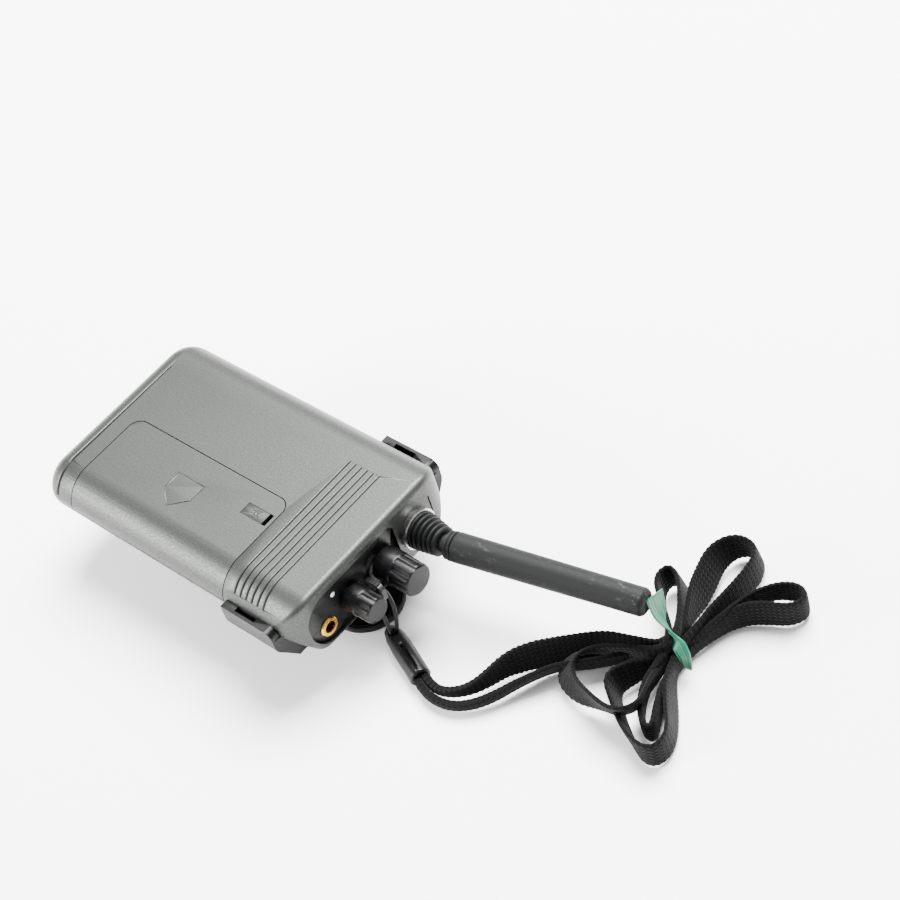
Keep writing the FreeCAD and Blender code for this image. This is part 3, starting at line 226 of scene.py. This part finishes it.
def knitted_polyester(name, hex_colour, pitch_mm, wales):
    """Warp-knitted polyester tape: lengthwise wales of slanted stitches that meet in chevrons."""
    material, tree, shader = new_material(name)
    uv = add(tree, "ShaderNodeUVMap", {"uv_map": "weave"}).outputs["UV"]
    split = add(tree, "ShaderNodeSeparateXYZ", links={"Vector": uv})
    run, across = split.outputs["X"], split.outputs["Y"]
    column = math_node(tree, "FRACT", math_node(tree, "MULTIPLY", across, wales))
    middle = math_node(tree, "ABSOLUTE", math_node(tree, "SUBTRACT", column, 0.5))
    ridge = math_node(tree, "MULTIPLY", middle, 2.0)
    phase = math_node(tree, "ADD", math_node(tree, "MULTIPLY", run, 1 / (pitch_mm * MM)),
                      math_node(tree, "MULTIPLY", ridge, 0.55))
    wave = math_node(tree, "SINE", math_node(tree, "MULTIPLY", phase, 2 * math.pi))
    stitch = math_node(tree, "ADD", math_node(tree, "MULTIPLY", wave, 0.5), 0.5)
    groove = math_node(tree, "POWER", ridge, 4.0)
    height = math_node(tree, "SUBTRACT", stitch, math_node(tree, "MULTIPLY", groove, 0.9))
    place = add(tree, "ShaderNodeTexCoord").outputs["Object"]
    fuzz = add(tree, "ShaderNodeTexNoise", {"Scale": 5000.0, "Detail": 2.0}, {"Vector": place})
    total = math_node(tree, "ADD", height, math_node(tree, "MULTIPLY", fuzz.outputs["Fac"], 0.5))
    base = linear(hex_colour)
    # The colour darkens where the stitches sink and lightens on their raised tops: painted shade in the
    # grooves and painted highlight on the stitches.
    painted_groove_shade = tuple(c * 0.5 for c in base[:3]) + (1,)
    painted_stitch_highlight = tuple(c * 1.4 + 0.002 for c in base[:3]) + (1,)
    tint = ramp(tree, height, [(0.0, painted_groove_shade), (0.5, base), (1.0, painted_stitch_highlight)])
    tree.links.new(tint, shader.inputs["Base Color"])
    shader.inputs["Roughness"].default_value = 0.8
    shader.inputs["Sheen Weight"].default_value = 0.03
    shader.inputs["Sheen Roughness"].default_value = 0.5
    shader.inputs["Specular IOR Level"].default_value = 0.06
    bump = add(tree, "ShaderNodeBump", {"Strength": 0.6, "Distance": 0.2 * MM}, {"Height": total})
    tree.links.new(bump.outputs["Normal"], shader.inputs["Normal"])
    return material


def twisted_film(name, hex_colour):
    """Thin polythene tie film: bright, with creases along its length."""
    material, tree, shader = new_material(name)
    uv = add(tree, "ShaderNodeUVMap", {"uv_map": "weave"}).outputs["UV"]
    stretched = add(tree, "ShaderNodeMapping", {"Scale": (60.0, 9.0, 1.0)}, {"Vector": uv})
    creases = add(tree, "ShaderNodeTexNoise", {"Scale": 1.0, "Detail": 3.0},
                  {"Vector": stretched.outputs["Vector"]})
    base = linear(hex_colour)
    # The colour darkens in the crease hollows and lightens on the crease ridges, following the bump's noise:
    # painted shade and painted highlight.
    dark = tuple(c * 0.45 for c in base[:3]) + (1,)
    light = tuple(min(1, c * 1.5 + 0.02) for c in base[:3]) + (1,)
    tint = ramp(tree, creases.outputs["Fac"], [(0.36, dark), (0.5, base), (0.64, light)])
    tree.links.new(tint, shader.inputs["Base Color"])
    shader.inputs["Roughness"].default_value = 0.34
    shader.inputs["IOR"].default_value = 1.51
    bump = add(tree, "ShaderNodeBump", {"Strength": 0.6, "Distance": 0.3 * MM},
               {"Height": creases.outputs["Fac"]})
    tree.links.new(bump.outputs["Normal"], shader.inputs["Normal"])
    return material


MATERIALS = {}


def make_materials(looks):
    MATERIALS.update({
        "case_paint": painted_abs("silver_lacquer_on_abs", looks.paint, looks.fleck),
        "lug_plastic": moulded_plastic("grey_satin_abs", "#1f2020", 0.4, gloss=0.3),
        "black_plastic": moulded_plastic("black_satin_abs", looks.plastic, 0.36, gloss=0.16),
        "aerial_rubber": worn_rubber("nitrile_rubber_scuffed", looks.rubber, "#585a58", 0.4),
        "screw_steel": plated_metal("blackened_steel", "#4a4a4c", 0.4),
        "spring_steel": plated_metal("nickel_plated_steel", "#c9c7c0", 0.25),
        "shaft_metal": plated_metal("turned_aluminium", "#c4c5c7", 0.3),
        "collar_metal": plated_metal("satin_plated_collar", "#b4b5b2", 0.24),
        "gold_plate": plated_metal("gold_plated_brass", "#e0ac4e", 0.2),
        "cell_jacket": moulded_plastic("shrink_sleeve_pvc", "#2a3a4c", 0.2, 0.8, 0.03),
        "circuit_board": moulded_plastic("solder_mask_green", "#1d5a3a", 0.3, 0.5, 0.05),
        "label_film": moulded_plastic("silver_polyester_label", "#c4c6c6", 0.35, 0.6, 0.05),
        "light_lens": moulded_plastic("white_acrylic_lens", "#dfe6e0", 0.25, 0.8, 0.02),
        "black_knit": knitted_polyester("knitted_polyester_tape", looks.knit, 1.5, 7.0),
        "tie_film": twisted_film("green_polythene_film", looks.film),
    })

# ------------------------------------------------------------------ CAD pieces with smooth shading


SMOOTH_COPIES = {
    "front_case": "case_paint", "rear_case": "case_paint", "battery_cover": "case_paint",
    "aerial_collar": "collar_metal", "cover_latch": "case_paint", "control_panel": "black_plastic",
    "volume_knob": "black_plastic", "channel_knob": "black_plastic", "jack_collar": "gold_plate",
    "power_light": "light_lens", "strap_lug": "lug_plastic", "aerial_boot": "aerial_rubber",
    "aerial_neck": "aerial_rubber", "aerial_rod": "aerial_rubber", "clip_bracket": "black_plastic",
    "clip_lever": "black_plastic", "cord_slider": "black_plastic",
}


WELD = 0.002 * MM
EDGE_ANGLE = math.radians(28)


def smooth_copy(node, slot):
    """A merged copy of a CAD node, shaded smooth between its real edges."""
    source = frame["nodes"][node]
    mesh = bpy.data.meshes.new(node + "_finish")
    shape = bmesh.new()
    shape.from_mesh(source.data)
    bmesh.ops.remove_doubles(shape, verts=shape.verts, dist=WELD)
    for face in shape.faces:
        face.smooth = True
        face.material_index = 0
    shape.to_mesh(mesh)
    shape.free()
    mesh.set_sharp_from_angle(angle=EDGE_ANGLE)
    piece = bpy.data.objects.new(node + "_finish", mesh)
    bpy.context.scene.collection.objects.link(piece)
    mesh.materials.append(MATERIALS[slot])
    flats = piece.modifiers.new("flat_faces_stay_flat", "WEIGHTED_NORMAL")
    flats.weight = 80
    flats.keep_sharp = True
    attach(piece, BODY_OF[node])
    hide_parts(node)

# ------------------------------------------------------------------ routes, in millimetres

# The strap leaves the slider, winds into the tied bundle and comes back to the slider.
# Each point is x, y, z, the lean of its width from upright in degrees, and how far it is gathered.
STRAP_ROUTE = [
    (73.3, -11.7, 3.1, 0, 0.26), (75.7, -12.7, 3.0, 0, 0.26), (79.4, -13.3, 3.0, 0, 0.28),
    (83.3, -12.4, 3.8, 0, 0.34), (87.2, -9.4, 4.4, -10, 0.45), (89.7, -4.7, 5.0, -20, 0.60),
    (91.6, 1.9, 5.6, -30, 0.80), (95.4, 7.4, 5.8, -30, 0.90), (100.0, 11.8, 5.8, -25, 0.95),
    (105.3, 16.7, 6.0, -15, 1.00), (110.8, 21.2, 6.4, -10, 1.00), (117.3, 24.3, 6.6, 0, 0.85),
    (123.4, 26.7, 6.8, 0, 0.60), (126.9, 30.0, 7.8, 0, 0.45), (125.5, 37.0, 7.4, 0, 0.70),
    (122.9, 44.1, 6.4, -20, 1.00), (120.7, 51.6, 6.0, -30, 1.00), (118.5, 59.9, 6.0, -25, 1.00),
    (121.4, 66.3, 6.0, 0, 1.00), (127.6, 66.9, 6.0, 10, 1.00), (130.4, 62.2, 5.8, 10, 1.00),
    (130.7, 53.8, 5.8, 10, 1.00), (129.8, 45.2, 6.0, 5, 0.95), (129.3, 36.8, 6.4, 0, 0.60),
    (128.3, 31.6, 6.0, 0, 0.45), (129.8, 25.7, 5.6, 0, 0.60), (132.6, 20.0, 5.4, 15, 0.90),
    (137.9, 13.6, 5.4, 15, 1.00), (142.8, 7.2, 5.4, 5, 1.00), (143.4, 1.3, 5.4, 0, 1.00),
    (139.6, -1.1, 5.4, 0, 1.00), (132.2, 2.1, 5.4, -15, 1.00), (125.5, 6.8, 5.6, -15, 1.00),
    (119.9, 11.4, 6.2, -20, 1.00), (121.8, 16.6, 6.4, -10, 0.95), (125.7, 22.9, 6.4, 0, 0.60),
    (127.6, 29.6, 4.6, 0, 0.45), (130.3, 35.7, 4.4, 0, 0.60), (132.0, 43.3, 5.2, 10, 0.90),
    (133.8, 51.5, 5.4, 15, 1.00), (138.3, 58.6, 5.6, 10, 0.95), (144.5, 61.8, 5.6, 0, 0.90),
    (149.0, 59.4, 5.6, 0, 0.95), (146.9, 54.3, 5.6, 0, 1.00), (140.4, 51.6, 5.4, 5, 1.00),
    (134.6, 47.7, 5.0, 5, 0.90), (131.2, 38.9, 4.0, 0, 0.60), (129.2, 31.1, 3.2, 0, 0.45),
    (130.3, 21.8, 4.0, 0, 0.60), (134.3, 12.6, 5.2, 0, 0.80), (138.2, 5.5, 5.2, 0, 0.80),
    (135.1, 5.4, 5.2, 0, 0.80), (130.4, 10.2, 5.2, 0, 0.80), (127.4, 16.7, 5.4, 0, 0.70),
    (127.7, 23.8, 7.6, 0, 0.50), (125.3, 31.2, 8.8, 0, 0.50), (118.2, 37.0, 7.4, 0, 0.90),
    (111.5, 42.9, 6.4, -10, 1.00), (111.4, 48.3, 6.4, 0, 1.00), (115.8, 48.4, 6.4, 15, 1.00),
    (122.6, 40.8, 7.4, 15, 0.95), (128.3, 28.8, 10.0, 0, 0.45), (125.3, 23.5, 8.6, 0, 0.60),
    (117.1, 21.1, 7.6, -15, 0.95), (109.7, 17.7, 7.2, -25, 1.00), (105.7, 13.1, 6.6, -43, 0.90),
    (106.9, 8.1, 6.4, -43, 0.80), (112.1, 5.1, 6.4, -20, 0.85), (119.7, 4.6, 7.6, 10, 1.00),
    (127.6, 4.1, 8.6, 25, 1.00), (131.3, 7.9, 8.8, 25, 1.00), (129.9, 14.1, 8.0, 15, 0.95),
    (127.4, 23.1, 5.6, 0, 0.50), (127.0, 30.4, 4.4, 0, 0.40), (127.5, 34.6, 4.0, 0, 0.40),
    (127.3, 36.7, 4.4, 0, 0.40), (125.4, 36.5, 4.8, 0, 0.40), (124.1, 32.9, 4.6, 0, 0.40),
    (121.8, 27.0, 4.6, -10, 0.60), (117.7, 22.1, 4.6, -20, 0.90), (113.4, 17.5, 4.8, -20, 0.90),
    (108.8, 13.1, 4.8, -20, 0.90), (103.2, 8.8, 4.8, -25, 0.90), (100.0, 4.0, 4.6, -25, 0.80),
    (96.8, -1.6, 4.2, -20, 0.60), (94.5, -6.6, 3.8, -10, 0.45), (90.8, -11.8, 3.2, 0, 0.36),
    (85.8, -15.4, 2.9, 0, 0.28), (79.8, -16.3, 2.9, 0, 0.26), (74.8, -15.1, 3.0, 0, 0.26),
    (72.4, -14.0, 3.1, 0, 0.26),
]

# The thin cord stands in the slider's seat, goes through the lug's eyelet and comes back.
CORD_ROUTE = [
    (57.5, -7.1, 4.6), (57.5, -7.0, 9.5), (54.2, -6.0, 18.8),
    (54.2, -1.8, 18.8), (58.1, -3.2, 10.5), (58.0, -5.9, 4.6),
]


def make_curve(name, places, leans=None, steps=12):
    """A smooth open NURBS curve with the places as its control points."""
    data = bpy.data.curves.new(name, "CURVE")
    data.dimensions = "3D"
    data.twist_mode = "Z_UP"
    data.resolution_u = steps
    spline = data.splines.new("NURBS")
    spline.points.add(len(places) - 1)
    for i, (point, place) in enumerate(zip(spline.points, places)):
        point.co = (place[0] * MM, place[1] * MM, place[2] * MM, 1)
        point.tilt = math.radians(leans[i]) if leans else 0.0
    spline.order_u = 3
    spline.use_endpoint_u = True
    return data


def curve_points(data):
    """The smooth line that a curve draws, as points."""
    holder = bpy.data.objects.new("line", data)
    bpy.context.scene.collection.objects.link(holder)
    bpy.context.view_layer.update()
    line = bpy.data.meshes.new_from_object(holder)
    points = [v.co.copy() for v in line.vertices]
    bpy.data.meshes.remove(line)
    bpy.data.objects.remove(holder)
    return points


SECTION_POINTS = 16


def tape_profile(width, thickness):
    """A flat oval section, as a closed poly curve: its long side is the tape's width."""
    data = bpy.data.curves.new("tape_section", "CURVE")
    data.dimensions = "2D"
    spline = data.splines.new("POLY")
    count = SECTION_POINTS
    spline.points.add(count - 1)
    for i, point in enumerate(spline.points):
        angle = 2 * math.pi * i / count
        along = math.copysign(abs(math.cos(angle)) ** 0.5, math.cos(angle)) * width / 2
        out = math.copysign(abs(math.sin(angle)) ** 0.6, math.sin(angle)) * thickness / 2
        point.co = (out, along, 0, 1)
    spline.use_cyclic_u = True
    holder = bpy.data.objects.new("tape_section", data)
    bpy.context.scene.collection.objects.link(holder)
    return holder, count


def make_tape(name, route, width, thickness, scallop=0.0, pitch=2.0 * MM, steps=16):
    """A flat tape along a route, with scalloped edges and a UV map in metres along and 0 to 1 across."""
    places = [place[:3] for place in route]
    leans = [place[3] for place in route]
    gathers = [place[4] for place in route]
    line = curve_points(make_curve(name + "_line", places, steps=steps))
    data = make_curve(name + "_tape", places, leans, steps)
    profile, count = tape_profile(width, thickness)
    data.bevel_mode = "OBJECT"
    data.bevel_object = profile
    holder = bpy.data.objects.new(name + "_tape", data)
    bpy.context.scene.collection.objects.link(holder)
    bpy.context.view_layer.update()
    depsgraph = bpy.context.evaluated_depsgraph_get()
    mesh = bpy.data.meshes.new_from_object(holder.evaluated_get(depsgraph))
    bpy.data.objects.remove(holder)
    bpy.data.objects.remove(profile)
    mesh.name = name
    runs = [0.0]
    for start, end in zip(line, line[1:]):
        runs.append(runs[-1] + (end - start).length)
    if len(mesh.vertices) < len(line) * count:
        raise RuntimeError(name + ": the tape has %d points for %d rings" % (len(mesh.vertices), len(line)))
    ring_of = {}
    for ring, centre in enumerate(line):
        place = ring / (len(line) - 1) * (len(gathers) - 1)
        before = min(int(place), len(gathers) - 2)
        gather = gathers[before] + (gathers[before + 1] - gathers[before]) * (place - before)
        points = [mesh.vertices[ring * count + k] for k in range(count)]
        long_way = (points[0].co - points[count // 2].co).normalized()
        for k, vertex in enumerate(points):
            side = math.cos(2 * math.pi * k / count)
            ring_of[vertex.index] = (runs[ring], 0.5 + 0.5 * math.copysign(abs(side) ** 0.5, side))
            offset = vertex.co - centre
            along = offset.dot(long_way)
            through = offset - long_way * along
            wave = math.sin(2 * math.pi * runs[ring] / pitch) * scallop * side
            vertex.co = centre + long_way * (along * gather + wave) + through * (2.0 - gather)
    weave = mesh.uv_layers.new(name="weave")
    for loop in mesh.loops:
        weave.data[loop.index].uv = ring_of.get(loop.vertex_index, (0.0, 0.5))
    for polygon in mesh.polygons:
        polygon.use_smooth = True
    shape = bmesh.new()
    shape.from_mesh(mesh)
    bmesh.ops.holes_fill(shape, edges=shape.edges, sides=count)
    bmesh.ops.recalc_face_normals(shape, faces=shape.faces)
    shape.to_mesh(mesh)
    shape.free()
    piece = bpy.data.objects.new(name, mesh)
    bpy.context.scene.collection.objects.link(piece)
    return piece, line, runs[-1]

# ------------------------------------------------------------------ settings


class BODYPACK_looks(bpy.types.PropertyGroup):
    """Colours and finish of the pack."""
    paint: bpy.props.StringProperty(name="Paint", description="sRGB colour of the case paint",
                                    default="#363836")
    fleck: bpy.props.FloatProperty(name="Fleck", description="Size of the paint's metallic flecks in mm",
                                   default=0.5,
                                   min=0.05, max=2.0)
    plastic: bpy.props.StringProperty(name="Plastic", description="sRGB colour of the black plastic",
                                      default="#050506")
    rubber: bpy.props.StringProperty(name="Rubber", description="sRGB colour of the aerial's rubber",
                                     default="#090a0a")
    knit: bpy.props.StringProperty(name="Knit", description="sRGB colour of the strap",
                                   default="#040404")
    film: bpy.props.StringProperty(name="Film", description="sRGB colour of the tie", default="#075a40")


class BODYPACK_lanyard(bpy.types.PropertyGroup):
    """Sizes of the lanyard."""
    width: bpy.props.FloatProperty(name="Width", description="Width of the strap",
                                   default=9.4 * MM, unit="LENGTH")
    thickness: bpy.props.FloatProperty(name="Thickness", description="Thickness of the strap",
                                       default=1.4 * MM,
                                       unit="LENGTH")
    scallop: bpy.props.FloatProperty(name="Scallop", description="Depth of the scallops on the strap's edges",
                                     default=0.16 * MM, unit="LENGTH")
    pitch: bpy.props.FloatProperty(name="Stitch pitch", description="Spacing of the edge stitches",
                                   default=1.5 * MM,
                                   unit="LENGTH")
    cord: bpy.props.FloatProperty(name="Cord", description="Diameter of the thin cord",
                                  default=1.2 * MM,
                                  unit="LENGTH")


class BODYPACK_stage(bpy.types.PropertyGroup):
    """The floor, the lights and the camera."""
    floor: bpy.props.StringProperty(name="Floor", description="sRGB colour of the floor",
                                    default="#f4f4f3")
    key: bpy.props.FloatProperty(name="Key light", description="Power of the overhead light",
                                 default=118.0,
                                 subtype="POWER")
    fill: bpy.props.FloatProperty(name="Fill", description="Strength of the light from all round",
                                  default=0.8)
    lens: bpy.props.FloatProperty(name="Lens", description="Focal length in mm", default=92.77)

# ------------------------------------------------------------------ operators


class BODYPACK_OT_finish_cad(bpy.types.Operator):
    """Gives every CAD piece its material, and the outer ones smooth shading"""
    bl_idname = "bodypack.finish_cad"
    bl_label = "Finish the case, controls, aerial and clip"

    def execute(self, context):
        make_materials(context.scene.bodypack_looks)
        slots = {entry["node"]: entry["material_slot"] for entry in frame["record"]["subparts"]}
        for node, piece in frame["nodes"].items():
            material = MATERIALS[slots[node]]
            if not piece.material_slots:
                piece.data.materials.append(material)
            for place in piece.material_slots:
                place.material = material
        for node, slot in SMOOTH_COPIES.items():
            smooth_copy(node, slot)
        return {"FINISHED"}


CORE_RADIUS = 2.9 * MM


class BODYPACK_OT_aerial_core(bpy.types.Operator):
    """Puts the rubber ball in the aerial's bending neck"""
    bl_idname = "bodypack.aerial_core"
    bl_label = "Aerial core"

    def execute(self, context):
        low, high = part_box("aerial_core_ball")
        centre = (Vector(low) + Vector(high)) / 2
        mesh = bpy.data.meshes.new("aerial_core_rubber")
        shape = bmesh.new()
        bmesh.ops.create_uvsphere(shape, u_segments=40, v_segments=24, radius=CORE_RADIUS)
        bmesh.ops.translate(shape, verts=shape.verts, vec=centre)
        for face in shape.faces:
            face.smooth = True
        shape.to_mesh(mesh)
        shape.free()
        mesh.materials.append(MATERIALS["aerial_rubber"])
        piece = bpy.data.objects.new("aerial_core_rubber", mesh)
        context.scene.collection.objects.link(piece)
        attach(piece, "aerial_pivot")
        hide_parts("aerial_core_ball")
        return {"FINISHED"}


class BODYPACK_OT_lanyard(bpy.types.Operator):
    """Lays the strap from the slider through its tied bundle, and loops the thin cord through the lug"""
    bl_idname = "bodypack.lanyard"
    bl_label = "Lanyard"

    def execute(self, context):
        sizes = context.scene.bodypack_lanyard
        strap, line, length = make_tape("lanyard_strap", STRAP_ROUTE, sizes.width, sizes.thickness,
                                        sizes.scallop, sizes.pitch, 20)
        strap.data.materials.clear()
        strap.data.materials.append(MATERIALS["black_knit"])
        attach(strap, "pack")
        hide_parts("strap_hank", "strap_tail_upper", "strap_tail_lower")
        data = make_curve("lanyard_thin_cord", CORD_ROUTE, steps=16)
        data.bevel_depth = sizes.cord / 2
        data.bevel_resolution = 4
        data.use_fill_caps = True
        data.materials.append(MATERIALS["black_plastic"])
        cord_line = curve_points(make_curve("cord_line", CORD_ROUTE, steps=16))
        cord = bpy.data.objects.new("lanyard_thin_cord", data)
        context.scene.collection.objects.link(cord)
        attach(cord, "pack")
        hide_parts("lanyard_cord")
        return {"FINISHED"}


# The tie stands up from the knot beside the aerial's tip, and ends short on the other side.
TIE_ROUTE = [
    (122.4, 31.5, 24.0, 60, 1.0), (123.3, 30.8, 20.0, 60, 0.95), (125.0, 30.1, 16.0, 50, 0.7),
    (126.3, 30.1, 12.8, 20, 0.45), (128.1, 29.5, 11.2, -30, 0.5), (130.6, 28.4, 10.0, -60, 0.7),
    (132.4, 27.7, 7.0, -60, 0.6), (132.8, 27.4, 3.8, -40, 0.45),
]


TIE_WIDTH = 6.0 * MM
TIE_THICKNESS = 0.5 * MM


class BODYPACK_OT_tie(bpy.types.Operator):
    """Twists the green film tie round the bundle"""
    bl_idname = "bodypack.tie"
    bl_label = "Strap tie"

    def execute(self, context):
        tie = make_tape("strap_film_tie", TIE_ROUTE, TIE_WIDTH, TIE_THICKNESS)[0]
        tie.data.materials.clear()
        tie.data.materials.append(MATERIALS["tie_film"])
        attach(tie, "pack")
        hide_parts("strap_tie")
        return {"FINISHED"}


# Name, place, size and share of the key power of each soft light. Places and sizes are in metres.
SOFT_LIGHTS = (
    ("overhead", (-0.1, 0.55, 1.0), 0.9, 1.0),
    ("side_window", (-0.75, -0.95, 0.5), 0.8, 0.55),
)
LIGHT_TARGET = (0.02, 0.0, 0.02)
# The camera's azimuth, elevation and roll in degrees. The roll also holds the resting pack's small lean.
CAMERA_ANGLES = (54.79, 47.24, -18.88)
CAMERA_PLACE = (0.4005, -0.2109, 0.4978)
FLOOR_HALF = 3.0


class BODYPACK_OT_stage(bpy.types.Operator):
    """Makes the floor, the soft light and the camera"""
    bl_idname = "bodypack.stage"
    bl_label = "Stage"

    def execute(self, context):
        settings = context.scene.bodypack_stage
        mesh = bpy.data.meshes.new("floor")
        shape = bmesh.new()
        bmesh.ops.create_grid(shape, x_segments=1, y_segments=1, size=FLOOR_HALF)
        shape.to_mesh(mesh)
        shape.free()
        material, tree, shader = new_material("pale_paper_floor")
        shader.inputs["Base Color"].default_value = linear(settings.floor)
        shader.inputs["Roughness"].default_value = 0.8
        mesh.materials.append(material)
        floor = bpy.data.objects.new("floor", mesh)
        context.scene.collection.objects.link(floor)
        world = bpy.data.worlds.new("studio")
        world.use_nodes = True
        background = world.node_tree.nodes["Background"]
        background.inputs["Color"].default_value = grey(1.0)
        background.inputs["Strength"].default_value = settings.fill
        context.scene.world = world
        for name, place, size, share in SOFT_LIGHTS:
            light = bpy.data.lights.new(name, "AREA")
            light.shape = "DISK"
            light.size = size
            light.energy = settings.key * share
            lamp = bpy.data.objects.new(name, light)
            context.scene.collection.objects.link(lamp)
            lamp.location = place
            aim = Vector(LIGHT_TARGET) - Vector(place)
            lamp.rotation_euler = aim.to_track_quat("-Z", "Y").to_euler()
        camera_data = bpy.data.cameras.new("camera")
        camera_data.lens = settings.lens
        camera_data.sensor_width = 36.0
        camera = bpy.data.objects.new("camera", camera_data)
        context.scene.collection.objects.link(camera)
        azimuth, elevation, roll = (math.radians(angle) for angle in CAMERA_ANGLES)
        back = Vector((math.sin(azimuth) * math.cos(elevation), -math.cos(azimuth) * math.cos(elevation),
                       math.sin(elevation)))
        level = Vector((math.cos(azimuth), math.sin(azimuth), 0))
        upright = back.cross(level)
        right = level * math.cos(roll) + upright * math.sin(roll)
        up = upright * math.cos(roll) - level * math.sin(roll)
        turn = Matrix((right, up, back)).transposed().to_4x4()
        camera.matrix_world = Matrix.Translation(CAMERA_PLACE) @ turn
        camera_data.clip_start = 0.05
        camera_data.clip_end = 20
        context.scene.camera = camera
        return {"FINISHED"}


class BODYPACK_PT_panel(bpy.types.Panel):
    """Lists the steps that finish the bodypack"""
    bl_label = "Bodypack"
    bl_idname = "BODYPACK_PT_panel"
    bl_space_type = "VIEW_3D"
    bl_region_type = "UI"
    bl_category = "Bodypack"

    def draw(self, context):
        for name in ("bodypack_looks", "bodypack_lanyard", "bodypack_stage"):
            group = getattr(context.scene, name)
            box = self.layout.box()
            for key in group.bl_rna.properties.keys():
                if key not in ("rna_type", "name"):
                    box.prop(group, key)
        for operator in OPERATORS:
            self.layout.operator(operator.bl_idname)


GROUPS = {"bodypack_looks": BODYPACK_looks, "bodypack_lanyard": BODYPACK_lanyard,
          "bodypack_stage": BODYPACK_stage}
OPERATORS = (BODYPACK_OT_finish_cad, BODYPACK_OT_aerial_core, BODYPACK_OT_lanyard, BODYPACK_OT_tie,
             BODYPACK_OT_stage)


def register():
    for item in tuple(GROUPS.values()) + OPERATORS + (BODYPACK_PT_panel,):
        bpy.utils.register_class(item)
    for name, group in GROUPS.items():
        setattr(bpy.types.Scene, name, bpy.props.PointerProperty(type=group))


def unregister():
    for name in GROUPS:
        delattr(bpy.types.Scene, name)
    for item in (BODYPACK_PT_panel,) + OPERATORS[::-1] + tuple(GROUPS.values())[::-1]:
        bpy.utils.unregister_class(item)


def main():
    register()
    bpy.ops.bodypack.finish_cad()
    bpy.ops.bodypack.stage()
    bpy.ops.bodypack.lanyard()
    bpy.ops.bodypack.aerial_core()
    bpy.ops.bodypack.tie()


if __name__ == "__main__":
    main()
